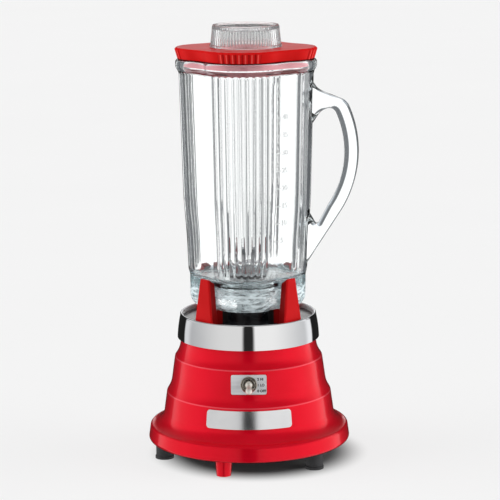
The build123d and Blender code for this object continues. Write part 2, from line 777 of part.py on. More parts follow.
# Motor, from the top bracket down
with BuildPart() as upper_bracket:
    with BuildSketch(level(bracket_z)):
        Circle(BRACKET_R)
        with PolarLocations(BRACKET_SPOT_R, 4):
            Circle(SCREW_R + FIT, mode=Mode.SUBTRACT)
    extrude(amount=BRACKET_T)
    with BuildSketch(level(bearing_z)):
        Circle(hub_r)
    extrude(amount=HUB_H)
    with BuildSketch(level(stator_top)):
        with Locations(*bolt_spots):
            Circle(SPACER_R)
    extrude(amount=bracket_z - stator_top)
    with BuildSketch(level(stator_top)):
        with Locations(*bolt_spots):
            Circle(SCREW_R + FIT)
    extrude(amount=STATOR_DROP, mode=Mode.SUBTRACT)
    with BuildSketch(level(bearing_z)):
        Circle(SHAFT_R + GAP)
    extrude(amount=HUB_H, mode=Mode.SUBTRACT)
    with BuildSketch(level(bearing_z)):
        Circle(BEARING_R + FIT)
    extrude(amount=BEARING_H, mode=Mode.SUBTRACT)
pieces["upper_bracket"] = upper_bracket

with BuildPart() as bracket_screws:
    with BuildSketch(level(bracket_z)):
        with PolarLocations(BRACKET_SPOT_R, 4):
            Circle(SCREW_R)
    extrude(amount=BRACKET_T + BRACKET_DROP)
    with BuildSketch(level(bracket_z)):
        with PolarLocations(BRACKET_SPOT_R, 4):
            Circle(SCREW_HEAD_R)
    extrude(amount=-SCREW_HEAD_H)
pieces["bracket_screws"] = bracket_screws

with BuildPart() as stator_core:
    with BuildSketch(level(stator_z)):
        RectangleRounded(STATOR_W, STATOR_D, STATOR_ROUND)
        Circle(STATOR_BORE_R, mode=Mode.SUBTRACT)
        with GridLocations(2 * COIL_X, COIL_SPAN, 2, 2):
            Rectangle(COIL_T + 2 * GAP, COIL_W + 2 * GAP, mode=Mode.SUBTRACT)
        with Locations(*bolt_spots):
            Circle(SCREW_R + FIT, mode=Mode.SUBTRACT)
    extrude(amount=STATOR_H)
pieces["stator_core"] = stator_core

for coil_name, coil_x in (("field_coil_left", -COIL_X), ("field_coil_right", COIL_X)):
    with BuildPart() as field_coil:
        coil_h = STATOR_H + 2 * COIL_RISE
        with BuildSketch(Plane.YZ.offset(coil_x - COIL_T / 2)):
            with Locations((0, stator_z + STATOR_H / 2)):
                RectangleRounded(COIL_SPAN + COIL_W, coil_h, COIL_W)
                RectangleRounded(COIL_SPAN - COIL_W, coil_h - 2 * COIL_W, SCREW_R, mode=Mode.SUBTRACT)
        extrude(amount=COIL_T)
    pieces[coil_name] = field_coil

with BuildPart() as lower_bracket:
    with BuildSketch(level(lower_bracket_z)):
        RectangleRounded(STATOR_W, STATOR_D, STATOR_ROUND)
        with Locations(*bolt_spots):
            Circle(SCREW_R + FIT, mode=Mode.SUBTRACT)
    extrude(amount=BRACKET_T)
    with BuildSketch(level(lower_bracket_top)):
        with Locations(*bolt_spots):
            Circle(SPACER_R)
            Circle(SCREW_R + FIT, mode=Mode.SUBTRACT)
    extrude(amount=LOWER_BRACKET_DROP)
    with BuildSketch(level(lower_bracket_top)):
        with GridLocations(1, 2 * (COMMUTATOR_R + HOLDER_L / 2 + HOLDER_WALL), 1, 2):
            Rectangle(BRUSH_W + 2 * HOLDER_WALL, HOLDER_L / 2)
    extrude(amount=brush_z - BRUSH_H / 2 - HOLDER_WALL - lower_bracket_top)
    with BuildSketch(level(lower_bracket_z - BEARING_H + BRACKET_T)):
        Circle(hub_r)
    extrude(amount=BEARING_H)
    with BuildSketch(level(lower_bracket_z - BEARING_H)):
        Circle(BEARING_R + FIT)
    extrude(amount=BEARING_H + BRACKET_T, mode=Mode.SUBTRACT)
pieces["lower_bracket"] = lower_bracket

with BuildPart() as motor_bolts:
    with BuildSketch(level(lower_bracket_z)):
        with Locations(*bolt_spots):
            Circle(SCREW_R)
    extrude(amount=bracket_top - lower_bracket_z)
    with BuildSketch(level(lower_bracket_z)):
        with Locations(*bolt_spots):
            Circle(SCREW_HEAD_R)
    extrude(amount=-SCREW_HEAD_H)
pieces["motor_bolts"] = motor_bolts

bearing_floors = {"upper_bearing": bearing_z, "lower_bearing": lower_bracket_top - BEARING_H}
for bearing_name, bearing_floor in bearing_floors.items():
    with BuildPart() as bearing:
        with BuildSketch(level(bearing_floor)):
            Circle(BEARING_R)
            Circle(SHAFT_R + FIT, mode=Mode.SUBTRACT)
        extrude(amount=BEARING_H)
    pieces[bearing_name] = bearing

for side_name, side in (("front", -1), ("rear", 1)):
    holder_y = side * (COMMUTATOR_R + HOLDER_WALL)
    with BuildPart() as brush_holder:
        with BuildSketch(Plane.XZ.offset(-holder_y)):
            with Locations((0, brush_z)):
                Rectangle(BRUSH_W + 2 * HOLDER_WALL, BRUSH_H + 2 * HOLDER_WALL)
                Rectangle(BRUSH_W + 2 * FIT, BRUSH_H + 2 * FIT, mode=Mode.SUBTRACT)
        extrude(amount=-side * HOLDER_L)
        with BuildSketch(Plane.XZ.offset(-holder_y - side * HOLDER_L)):
            with Locations((0, brush_z)):
                Rectangle(BRUSH_W + 2 * HOLDER_WALL, BRUSH_H + 2 * HOLDER_WALL)
        extrude(amount=-side * HOLDER_WALL)
    pieces[f"brush_holder_{side_name}"] = brush_holder

    brush_y = side * (COMMUTATOR_R + GAP)
    with BuildPart() as carbon_brush:
        with BuildSketch(Plane.XZ.offset(-brush_y)):
            with Locations((0, brush_z)):
                Rectangle(BRUSH_W, BRUSH_H)
        extrude(amount=-side * BRUSH_L)
    pieces[f"carbon_brush_{side_name}"] = carbon_brush

    spring_y = brush_y + side * BRUSH_L
    spring_l = HOLDER_L + HOLDER_WALL - GAP - BRUSH_L
    with BuildPart() as brush_spring:
        with BuildSketch(Plane.YZ.offset(-BRUSH_W / 3)):
            with BuildLine():
                fold_l = side * spring_l / SPRING_FOLDS
                Polyline(*[
                    (spring_y + fold_l * step, brush_z + (step % 2 - 0.5) * BRUSH_H / 2)
                    for step in range(SPRING_FOLDS + 1)
                ])
                offset(amount=HOLDER_WALL / 4)
            make_face()
            with Locations((spring_y + side * spring_l / 2, brush_z)):
                Rectangle(spring_l, BRUSH_H, mode=Mode.INTERSECT)
        extrude(amount=BRUSH_W * 2 / 3)
    pieces[f"brush_spring_{side_name}"] = brush_spring

# Rotor
with BuildPart() as motor_shaft:
    with BuildSketch(level(fan_top - FAN_BLADE_H - SHAFT_TAIL)):
        Circle(SHAFT_R)
    extrude(amount=boss_top - HOLDER_WALL - fan_top + FAN_BLADE_H + SHAFT_TAIL)
    chamfer(motor_shaft.edges().filter_by(GeomType.CIRCLE), length=GAP)
pieces["motor_shaft"] = motor_shaft

with BuildPart() as rotor_core:
    with BuildSketch(level(stator_z)):
        Circle(rotor_r)
        Circle(SHAFT_R + FIT, mode=Mode.SUBTRACT)
        with PolarLocations(rotor_r, ROTOR_TEETH):
            Rectangle(2 * ROTOR_SLOT_DEPTH, ROTOR_SLOT_W, mode=Mode.SUBTRACT)
    extrude(amount=STATOR_H)
pieces["rotor_core"] = rotor_core

with BuildPart() as rotor_windings:
    for winding_z in (stator_z - WINDING_H, stator_top):
        with BuildSketch(level(winding_z)):
            Circle(WINDING_R)
            Circle(SHAFT_R + FIT, mode=Mode.SUBTRACT)
        extrude(amount=WINDING_H)
    winding_rims = rotor_windings.edges().filter_by(GeomType.CIRCLE).sort_by(SortBy.RADIUS)[-4:]
    fillet(winding_rims, radius=WINDING_H / 3)
    with BuildSketch(level(stator_z)):
        with PolarLocations(rotor_r - ROTOR_SLOT_DEPTH / 2, ROTOR_TEETH):
            Rectangle(ROTOR_SLOT_DEPTH - 2 * GAP, ROTOR_SLOT_W - 2 * FIT)
    extrude(amount=STATOR_H)
pieces["rotor_windings"] = rotor_windings

with BuildPart() as commutator:
    with BuildSketch(level(commutator_z)):
        Circle(COMMUTATOR_R)
        Circle(SHAFT_R + FIT, mode=Mode.SUBTRACT)
        with PolarLocations(COMMUTATOR_R, COMMUTATOR_BARS):
            Rectangle(HOLDER_WALL, GAP * 2, mode=Mode.SUBTRACT)
    extrude(amount=COMMUTATOR_H)
pieces["commutator"] = commutator

with BuildPart() as cooling_fan:
    with BuildSketch(level(fan_top - FAN_BLADE_H)):
        Circle(FAN_HUB_R)
    extrude(amount=FAN_BLADE_H)
    with BuildSketch(level(fan_top - FAN_DISC_T)):
        Circle(FAN_R)
    extrude(amount=FAN_DISC_T)
    with BuildSketch(level(fan_top - FAN_BLADE_H)):
        with PolarLocations((FAN_R + SHAFT_R) / 2, FAN_BLADES):
            Rectangle(FAN_R - SHAFT_R - 2 * GAP, FAN_DISC_T)
    extrude(amount=FAN_BLADE_H)
    with BuildSketch(level(fan_top - FAN_BLADE_H)):
        Circle(SHAFT_R + FIT)
    extrude(amount=FAN_BLADE_H, mode=Mode.SUBTRACT)
pieces["cooling_fan"] = cooling_fan

with BuildPart() as drive_stud:
    with BuildSketch(level(stud_z)):
        Circle(STUD_HUB_R)
    extrude(amount=STUD_HUB_H)
    with BuildSketch(level(boss_top)):
        Rectangle(STUD_W, STUD_W)
    extrude(amount=STUD_H)
    chamfer(drive_stud.faces().sort_by(Axis.Z)[-1].edges(), length=GAP * 2)
    with BuildSketch(level(stud_z)):
        Circle(SHAFT_R + FIT)
    extrude(amount=STUD_HUB_H - HOLDER_WALL, mode=Mode.SUBTRACT)
pieces["drive_stud"] = drive_stud

# Glass jar: clover foot, fluted body and rim, hollowed in one go, with a strap handle
with BuildPart() as jar_inside:
    inner_sections = (
        (floor_z, jar_waist_r - JAR_WALL),
        (seat_z + JAR_FLARE_H, JAR_FLARE_R - JAR_WALL),
        (seat_z + JAR_BELLY_H, JAR_BELLY_R - JAR_WALL),
        (seat_z + neck_h, JAR_NECK_R - JAR_WALL),
        (jar_top + GAP, JAR_NECK_R - JAR_WALL),
    )
    for section_z, lobe_r in inner_sections:
        with BuildSketch(jar_level(section_z)):
            Clover(lobe_r, VALLEY_DEPTH)
    loft(ruled=True)
    fillet(jar_inside.faces().sort_by(Axis.Z)[0].edges(), radius=FLOOR_ROUND)

with BuildPart() as handle:
    with BuildSketch(jar_upright()) as strap:
        with BuildLine():
            top = (HANDLE_ROOT_R, seat_z + HANDLE_TOP_H)
            corner = (HANDLE_CORNER_R, seat_z + HANDLE_CORNER_H)
            reach = (HANDLE_REACH_R, seat_z + HANDLE_REACH_H)
            bend = (HANDLE_BEND_R, seat_z + HANDLE_BEND_H)
            foot_end = (HANDLE_ROOT_R, seat_z + HANDLE_FOOT_H)
            Line(top, corner)
            ThreePointArc(corner, reach, bend)
            Polyline(bend, foot_end, top)
        make_face()
        fillet(strap.vertices().sort_by_distance(corner)[0], radius=HANDLE_CORNER_ROUND)
        offset(amount=-HANDLE_T, mode=Mode.SUBTRACT)
    extrude(amount=HANDLE_W / 2, both=True)
    sides = handle.faces().sort_by(Axis((0, 0, 0), jar_upright().z_dir))
    fillet(sides[0].edges() + sides[-1].edges(), radius=HANDLE_ROUND)
    with BuildSketch(jar_upright()):
        with BuildLine():
            Polyline(
                (0, seat_z),
                (jar_waist_r - JAR_WALL / 2, seat_z),
                (jar_waist_r - JAR_WALL / 2, floor_z),
                (JAR_NECK_R - JAR_WALL / 2, seat_z + neck_h),
                (0, seat_z + neck_h),
                close=True,
            )
        make_face()
    extrude(amount=HANDLE_W, both=True, mode=Mode.SUBTRACT)

with BuildPart() as glass_jar:
    foot_sections = ((0, jar_edge_r), (JAR_EDGE_H, JAR_FOOT_R - GAP), (JAR_FOOT_H, JAR_FOOT_R))
    for section_h, lobe_r in foot_sections:
        with BuildSketch(jar_level(seat_z + section_h)):
            Clover(lobe_r, VALLEY_DEPTH)
    loft(ruled=True)
    step_sections = ((JAR_FOOT_H, JAR_FOOT_R), (JAR_FOOT_H + JAR_STEP_H, jar_waist_r))
    for section_h, lobe_r in step_sections:
        with BuildSketch(jar_level(seat_z + section_h)):
            Clover(lobe_r, VALLEY_DEPTH)
    loft(ruled=True)
    body_sections = (
        (JAR_FOOT_H + JAR_STEP_H, jar_waist_r, 0),
        (JAR_FOOT_H + JAR_STEP_H + FLUTE_FADE_H, jar_waist_r + GAP, FLUTE_DEPTH),
        (JAR_FLARE_H, JAR_FLARE_R, FLUTE_DEPTH),
        (JAR_BELLY_H, JAR_BELLY_R, FLUTE_DEPTH),
        (neck_h - FLUTE_FADE_H, JAR_NECK_R - GAP, FLUTE_DEPTH),
        (neck_h, JAR_NECK_R, 0),
    )
    for section_h, lobe_r, flute_depth in body_sections:
        with BuildSketch(jar_level(seat_z + section_h)):
            Clover(lobe_r, VALLEY_DEPTH, FLUTES, FLUTE_ARC, flute_depth, plain_lobes=(0,))
    loft(ruled=True)
    for section_h, lobe_r in ((neck_h, JAR_NECK_R), (JAR_H - JAR_RIM_H, JAR_RIM_R)):
        with BuildSketch(jar_level(seat_z + section_h)):
            Clover(lobe_r, VALLEY_DEPTH)
    loft(ruled=True)
    with BuildSketch(jar_level(jar_top - JAR_RIM_H)):
        Clover(JAR_RIM_R, VALLEY_DEPTH)
    extrude(amount=JAR_RIM_H)
    add(jar_inside.part, mode=Mode.SUBTRACT)
    with BuildSketch(level(seat_z)):
        Circle(well_r)
    extrude(amount=WELL_H, taper=WELL_DRAFT, mode=Mode.SUBTRACT)
    with BuildSketch(level(well_roof_z)):
        Circle(FLOOR_BORE_R)
    extrude(amount=FLOOR_T, mode=Mode.SUBTRACT)
    fillet(glass_jar.edges().group_by(Axis.Z)[-1], radius=JAR_RIM_ROUND)
    add(handle.part)
pieces["glass_jar"] = glass_jar

# Blade unit, from the floor's gasket to the drive below
flange_z = floor_z + GASKET_T
dome_z = flange_z + HOUSING_FLANGE_T
dome_top = dome_z + HOUSING_DOME_H
barrel_z = well_roof_z - WASHER_T - LOCK_NUT_T
washer_top = dome_top + WASHER_T
coupling_top = barrel_z - GAP
blade_shaft_top = washer_top + 2 * BLADE_T + BLADE_NUT_H

rings = {
    "jar_gasket": (floor_z, GASKET_T, GASKET_R, BARREL_R + FIT),
    "jar_washer": (well_roof_z - WASHER_T, WASHER_T, LOCK_NUT_R, BARREL_R + FIT),
    "blade_bush": (barrel_z, dome_top - barrel_z, BUSH_R, BLADE_SHAFT_R + FIT),
    "blade_washer": (dome_top, WASHER_T, BUSH_R, BLADE_SHAFT_R + FIT),
}
for ring_name, (ring_z, ring_t, ring_r, ring_bore_r) in rings.items():
    with BuildPart() as plain_ring:
        with BuildSketch(level(ring_z)):
            Circle(ring_r)
            Circle(ring_bore_r, mode=Mode.SUBTRACT)
        extrude(amount=ring_t)
    pieces[ring_name] = plain_ring

with BuildPart() as blade_housing:
    with BuildSketch(Plane.XZ):
        with BuildLine():
            Polyline(
                (BUSH_R + FIT, barrel_z),
                (BARREL_R, barrel_z),
                (BARREL_R, flange_z),
                (HOUSING_FLANGE_R, flange_z),
                (HOUSING_FLANGE_R, dome_z),
                (HOUSING_DOME_R, dome_top),
                (BUSH_R + FIT, dome_top),
                close=True,
            )
        make_face()
    revolve()
pieces["blade_housing"] = blade_housing

with BuildPart() as lock_nut:
    with BuildSketch(level(barrel_z)):
        Circle(LOCK_NUT_R)
        Circle(BARREL_R + FIT, mode=Mode.SUBTRACT)
        with PolarLocations(LOCK_NUT_R, LOCK_NUT_NOTCHES):
            Circle(LOCK_NUT_T / 2, mode=Mode.SUBTRACT)
    extrude(amount=LOCK_NUT_T)
pieces["lock_nut"] = lock_nut

with BuildPart() as blade_shaft:
    with BuildSketch(level(stud_top + GAP)):
        Circle(BLADE_SHAFT_R)
    extrude(amount=blade_shaft_top - stud_top - GAP)
pieces["blade_shaft"] = blade_shaft

with BuildPart() as jar_coupling:
    with BuildSketch(level(seat_z + GAP)):
        Circle(COUPLING_R)
        Rectangle(STUD_W + 2 * GAP, STUD_W + 2 * GAP, mode=Mode.SUBTRACT)
    extrude(amount=stud_top - seat_z)
    with BuildSketch(level(stud_top + GAP)):
        Circle(COUPLING_R)
        Circle(BLADE_SHAFT_R + FIT, mode=Mode.SUBTRACT)
    extrude(amount=coupling_top - stud_top - GAP)
pieces["jar_coupling"] = jar_coupling

blade_bends = {
    "lower_blade": (washer_top, -BLADE_FALL, 0),
    "upper_blade": (washer_top + BLADE_T, BLADE_RISE, 90),
}
for blade_name, (blade_z, tip_rise, blade_turn) in blade_bends.items():
    blade_plane = Plane.XZ.rotated((0, 0, blade_turn))
    outline_plane = Plane(origin=(0, 0, blade_z - BLADE_RISE), x_dir=blade_plane.x_dir, z_dir=(0, 0, 1))
    with BuildPart() as blade:
        with BuildSketch(blade_plane):
            with BuildLine():
                under = [
                    (-BLADE_REACH, blade_z + tip_rise),
                    (-BLADE_FLAT, blade_z),
                    (BLADE_FLAT, blade_z),
                    (BLADE_REACH, blade_z + tip_rise),
                ]
                over = [(x, z + BLADE_T) for x, z in reversed(under)]
                Polyline(*under, *over, close=True)
            make_face()
        extrude(amount=BLADE_W / 2, both=True)
        with BuildSketch(outline_plane):
            with BuildLine():
                Polyline(
                    (-BLADE_REACH, -BLADE_TIP_W / 2),
                    (-BLADE_FLAT, -BLADE_W / 2),
                    (BLADE_FLAT, -BLADE_TIP_W),
                    (BLADE_REACH, -BLADE_TIP_W / 2),
                    (BLADE_REACH, BLADE_TIP_W / 2),
                    (BLADE_FLAT, BLADE_W / 2),
                    (-BLADE_FLAT, BLADE_TIP_W),
                    (-BLADE_REACH, BLADE_TIP_W / 2),
                    close=True,
                )
            make_face()
            Circle(BLADE_SHAFT_R + FIT, mode=Mode.SUBTRACT)
        extrude(amount=3 * BLADE_RISE, mode=Mode.INTERSECT)
    pieces[blade_name] = blade

with BuildPart() as blade_nut:
    with BuildSketch(level(washer_top + 2 * BLADE_T)):
        RegularPolygon(BLADE_NUT_W / 2, 6, major_radius=False)
        Circle(BLADE_SHAFT_R + FIT, mode=Mode.SUBTRACT)
    extrude(amount=BLADE_NUT_H)
pieces["blade_nut"] = blade_nut

# Lid: clover crown with a hollow plug in the jar's mouth
with BuildPart() as lid:
    crown_sections = (
        (jar_top, LID_EDGE_R),
        (lid_top - LID_ROUND, LID_TOP_R),
        (lid_top, LID_TOP_R - LID_ROUND),
    )
    for section_z, lobe_r in crown_sections:
        with BuildSketch(jar_level(section_z)):
            Clover(lobe_r, LID_VALLEY_DEPTH, LID_RIBS, LID_RIB_ARC, -LID_RIB_H)
    loft(ruled=True)
    plug_r = JAR_NECK_R - JAR_WALL - LID_PLUG_PLAY
    with BuildSketch(jar_level(jar_top)):
        Clover(plug_r, VALLEY_DEPTH)
    extrude(amount=-LID_PLUG_DEPTH)
    with BuildSketch(jar_level(jar_top - LID_PLUG_DEPTH)):
        Clover(plug_r - LID_PLUG_WALL, VALLEY_DEPTH)
        Circle(LID_BORE_R + LID_COLLAR_WALL, mode=Mode.SUBTRACT)
    extrude(amount=LID_PLUG_DEPTH + LID_H - LID_CROWN_T, mode=Mode.SUBTRACT)
    with BuildSketch(level(jar_top - LID_PLUG_DEPTH)):
        Circle(LID_BORE_R)
    extrude(amount=LID_PLUG_DEPTH + LID_H, mode=Mode.SUBTRACT)
pieces["lid"] = lid

with BuildPart() as measure_cap:
    cap_top = lid_top + CAP_H
    for section_z, section_r in ((lid_top + CAP_FLANGE_T, CAP_R), (cap_top - CAP_RIM_H, CAP_TOP_R)):
        with BuildSketch(level(section_z)):
            Fluted(section_r, CAP_FLUTES, CAP_FLUTE_DEPTH)
    loft(ruled=True)
    with BuildSketch(level(lid_top)):
        Circle(CAP_FLANGE_R)
    extrude(amount=CAP_FLANGE_T)
    with BuildSketch(level(cap_top - CAP_RIM_H)):
        Circle(CAP_TOP_R - CAP_FLUTE_DEPTH)
        Circle(CAP_TOP_R - CAP_WALL, mode=Mode.SUBTRACT)
    extrude(amount=CAP_RIM_H)
    with BuildSketch(level(lid_top)):
        Circle(CAP_PLUG_R)
    extrude(amount=-CAP_PLUG_DEPTH)
    with BuildSketch(level(lid_top - CAP_PLUG_DEPTH)):
        Circle(CAP_PLUG_R - CAP_WALL)
    extrude(amount=CAP_PLUG_DEPTH + CAP_H - CAP_RIM_H - CAP_TOP_T, mode=Mode.SUBTRACT)
pieces["measure_cap"] = measure_cap

for name, piece in pieces.items():
    piece.part.label = name
    export_step(piece.part, f"parts/{name}.step")
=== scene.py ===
# %% [markdown]
# # A countertop blender with a fluted glass jar
# The machine has a stepped, red enamelled base with a chrome ring, a thick pressed-glass jar on four posts,
# a ribbed red lid and a clear measuring cap. Its working pieces are already made at their real size, and
# this lesson gives them their looks. We start by loading those pieces as a fixed frame, which is in metres,
# with +Z up and the front at -Y. New shapes are written in millimetres and multiplied by MM.

# %% Load the frame
import json
from math import atan2, cos, degrees, pi, radians, sin, sqrt

import bmesh
import bpy
from mathutils import Matrix, Vector


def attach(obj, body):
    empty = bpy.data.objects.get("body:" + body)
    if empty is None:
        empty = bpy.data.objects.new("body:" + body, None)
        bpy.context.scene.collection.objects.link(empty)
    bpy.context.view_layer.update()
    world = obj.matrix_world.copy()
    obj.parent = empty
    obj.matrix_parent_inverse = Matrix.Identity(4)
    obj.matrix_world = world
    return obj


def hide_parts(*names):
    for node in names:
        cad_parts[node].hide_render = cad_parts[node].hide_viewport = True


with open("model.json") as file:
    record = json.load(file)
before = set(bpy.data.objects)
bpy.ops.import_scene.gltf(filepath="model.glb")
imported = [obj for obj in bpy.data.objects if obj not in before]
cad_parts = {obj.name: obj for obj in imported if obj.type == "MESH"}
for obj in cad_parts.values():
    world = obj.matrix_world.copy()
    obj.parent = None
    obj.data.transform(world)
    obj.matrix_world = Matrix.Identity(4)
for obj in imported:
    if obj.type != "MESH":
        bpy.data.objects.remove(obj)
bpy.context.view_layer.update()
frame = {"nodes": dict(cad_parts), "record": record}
nodes = frame["nodes"]
MM = 0.001

# %% [markdown]
# ## The camera
# The photograph was taken with a long lens, from above the lid's height and looking down by about ten
# degrees. A long lens keeps upright lines nearly parallel, so we stand almost two metres away. The picture
# is square: focal length in pixels over the picture's pixels, times the sensor's width, is the lens. A
# small shift and a slight roll put the drive axis where it is in the picture.

# %% Camera
PICTURE = 500  # pixels
FOCAL_PIXELS = 2150
SENSOR_MM = 36.0
CAMERA_PLACE = (0, -1.8805, 0.5373)
CAMERA_PITCH = 10.58  # degrees down
CAMERA_ROLL = 0.5  # degrees
AXIS_OFF_CENTRE = 2.4  # pixels left of the picture's middle

camera_data = bpy.data.cameras.new("camera")
camera_data.sensor_width = SENSOR_MM
camera_data.lens = FOCAL_PIXELS / PICTURE * SENSOR_MM
camera_data.shift_x = AXIS_OFF_CENTRE / PICTURE
camera = bpy.data.objects.new("camera", camera_data)
pitch = Matrix.Rotation(radians(90 - CAMERA_PITCH), 4, "X")
roll = Matrix.Rotation(radians(-CAMERA_ROLL), 4, "Z")
camera.matrix_world = Matrix.Translation(CAMERA_PLACE) @ pitch @ roll
bpy.context.scene.collection.objects.link(camera)
bpy.context.scene.camera = camera
bpy.context.scene.view_settings.view_transform = "Standard"
print("lens", round(camera_data.lens, 1), "mm")

# %% [markdown]
# ## Shader arithmetic
# Blender's materials are graphs of nodes. Writing each Math node by hand hides the formula, so a small
# class stands for one output socket and lets Python's own signs add the nodes. Any other node comes from
# its `node` method, which sets the node's settings first and then its sockets.


# %% A socket that can be calculated with
class Wire:
    """An output socket of a node tree. Arithmetic on it adds Math nodes."""

    def __init__(self, tree, socket):
        self.tree = tree
        self.socket = socket

    def node(self, kind, settings=None, values=None, output=0):
        """Add a node, set its settings, then fill its sockets, and give one of its outputs."""
        made = self.tree.nodes.new(kind)
        for name, value in (settings or {}).items():
            setattr(made, name, value)
        for name, value in (values or {}).items():
            if isinstance(value, Wire):
                self.tree.links.new(value.socket, made.inputs[name])
            else:
                made.inputs[name].default_value = value
        return Wire(self.tree, made.outputs[output])

    def math(self, operation, first, second=0.0):
        """One Math node."""
        return self.node("ShaderNodeMath", {"operation": operation}, {0: first, 1: second})

    def __add__(self, other):
        return self.math("ADD", self, other)

    __radd__ = __add__

    def __sub__(self, other):
        return self.math("SUBTRACT", self, other)

    def __rsub__(self, other):
        return self.math("SUBTRACT", other, self)

    def __mul__(self, other):
        return self.math("MULTIPLY", self, other)

    __rmul__ = __mul__

    def __abs__(self):
        return self.math("ABSOLUTE", self)

    def rise(self, start, end):
        """0 up to start, 1 from end on, smooth between them."""
        values = {"Value": self, "From Min": start, "From Max": end}
        return self.node("ShaderNodeMapRange", {"interpolation_type": "SMOOTHSTEP"}, values)

    def colours(self, low, high):
        """The colour low where this is 0, high where it is 1."""
        return self.node("ShaderNodeMix", {"data_type": "RGBA"}, {0: self, 6: low, 7: high}, output=2)

    def noise(self, scale, detail=2.0):
        """Cloudy values about a half, on this vector."""
        return self.node("ShaderNodeTexNoise", values={"Vector": self, "Scale": scale, "Detail": detail})

    def stretched(self, scale):
        """This vector, scaled by a different amount along each axis."""
        return self.node("ShaderNodeMapping", values={"Vector": self, "Scale": scale})

    def length(self):
        """How long this vector is."""
        return self.node("ShaderNodeVectorMath", {"operation": "LENGTH"}, {0: self}, output="Value")

    def axis(self, name):
        """One coordinate of this vector."""
        return self.node("ShaderNodeSeparateXYZ", values={"Vector": self}, output=name)

    def from_axis(self):
        """How far this place is from the upright drive axis."""
        return self.stretched((1, 1, 0)).length()

    def bump(self, strength, height):
        """A normal that follows this value as a height, in metres."""
        values = {"Strength": strength, "Distance": height, "Height": self}
        return self.node("ShaderNodeBump", values=values, output="Normal")


print("shader arithmetic ready")

# %% [markdown]
# ## The studio
# The chrome ring shows how the picture was lit: two broad white softboxes, one at each side, with a dark
# gap between them where the camera stood, and dark studio behind their far edges. Those gaps draw the black
# stripes in the chrome and the grey lines in the glass. A world that gives light by direction does the same
# without any lamp in the way. The softboxes grow brighter towards their far edges, and mirrors see a dark
# table instead of the backdrop's foot.
#
# Rays straight from the camera see a plain pale room. Light through glass finds the gaps filled with a cool
# grey, because a real studio behind a jar is never quite black, and finds the white table where it goes
# steeply down.

# %% World light
CAMERA_GAP = (6.0, 12.0)  # degrees from the front: the dark gap's soft edge
SOFTBOX_GROW = (104.0, 118.0)  # where the softboxes grow brighter
SOFTBOX_END = (124.0, 129.0)
BACKDROP_START = (166.0, 172.0)
SOFTBOX_TOP = (18.0, 38.0)  # degrees above level
SOFTBOX_LIGHT = 0.66
SOFTBOX_FAR_LIGHT = 1.0
RIGHT_MORE = 0.22  # how much brighter the right softbox is
MIDDLE_BLEND = 0.05  # how softly left runs into right
BACKDROP_LIGHT = 1.2
TABLE_EDGE = (5.0, 9.0)  # degrees above level: mirrors see a dark table below this
DARK_LIGHT = 0.02
ROOF_LIGHT = 0.28
GLASS_FILL = (0.86, 0.92, 1.0, 1)  # what light bent through glass finds in the dark gaps
GLASS_FILL_LIGHT = 0.15
TABLE_FILL_LIGHT = 0.75  # the white table, for light that is bent steeply down
STEEP = (-32.0, -18.0)  # degrees above level
ROOM = (0.905, 0.905, 0.905, 1)


def past(angle, limits):
    """0 up to the first limit, 1 from the second on. The limits are in degrees."""
    return angle.rise(*map(radians, limits))


world = bpy.data.worlds.new("studio")
world.use_nodes = True
bpy.context.scene.world = world
tree = world.node_tree
tree.nodes.clear()
direction = Wire(tree, tree.nodes.new("ShaderNodeTexCoord").outputs["Generated"])
sideways = abs(direction.axis("X"))
backward = direction.axis("Y")
turn = direction.math("ARCTAN2", sideways, 0.0 - backward)
height = direction.math("ARCSINE", direction.axis("Z"))
softbox = past(turn, CAMERA_GAP) * (1 - past(turn, SOFTBOX_END))
panel = past(turn, SOFTBOX_GROW) * (SOFTBOX_FAR_LIGHT - SOFTBOX_LIGHT) + SOFTBOX_LIGHT
right_side = direction.axis("X").rise(-MIDDLE_BLEND, MIDDLE_BLEND) * RIGHT_MORE + 1
backdrop = past(turn, BACKDROP_START)
overhead = past(height, SOFTBOX_TOP)
through = direction.node("ShaderNodeLightPath", output="Is Transmission Ray")
mirrored = direction.node("ShaderNodeLightPath", output="Is Glossy Ray") * (1 - through)
table = mirrored * (1 - past(height, TABLE_EDGE))
behind = backdrop * (1 - table) * BACKDROP_LIGHT
level_light = softbox * panel * right_side + behind + DARK_LIGHT
brightness = level_light * (1 - overhead) + overhead * ROOF_LIGHT
studio = direction.node("ShaderNodeBackground", values={"Color": (1, 1, 1, 1), "Strength": brightness})
steep = 1 - past(height, STEEP)
filled = steep * (TABLE_FILL_LIGHT - GLASS_FILL_LIGHT) + GLASS_FILL_LIGHT
gaps = through * (1 - softbox) * (1 - backdrop) * filled
fill = direction.node("ShaderNodeBackground", values={"Color": GLASS_FILL, "Strength": gaps})
studio = direction.node("ShaderNodeAddShader", values={0: studio, 1: fill})
room = direction.node("ShaderNodeBackground", values={"Color": ROOM, "Strength": 1.0})
seen = direction.node("ShaderNodeLightPath", output="Is Camera Ray")
light = direction.node("ShaderNodeMixShader", values={0: seen, 1: studio, 2: room})
out = tree.nodes.new("ShaderNodeOutputWorld")
tree.links.new(light.socket, out.inputs["Surface"])
print("studio light made of", len(tree.nodes), "nodes")

# %% [markdown]
# ## A piece and its finish
# Nothing real has one even colour. Every finish here mixes two colours and a range of roughness in soft
# clouds, and a fine noise as a bump gives it grain. Two helpers serve all that follows: one turns a
# modelled shape into an object, and one makes such a finish.

# %% Helpers
CLOUD_EDGE = (0.3, 0.7)  # of the noise: from no cloud to full cloud
GRAIN_DETAIL = 4.0


def new_piece(name, bm, *materials):
    """An object made from a finished bmesh, at the origin, with its materials."""
    mesh = bpy.data.meshes.new(name)
    bm.to_mesh(mesh)
    bm.free()
    for material in materials:
        mesh.materials.append(material)
    piece = bpy.data.objects.new(name, mesh)
    bpy.context.scene.collection.objects.link(piece)
    return piece


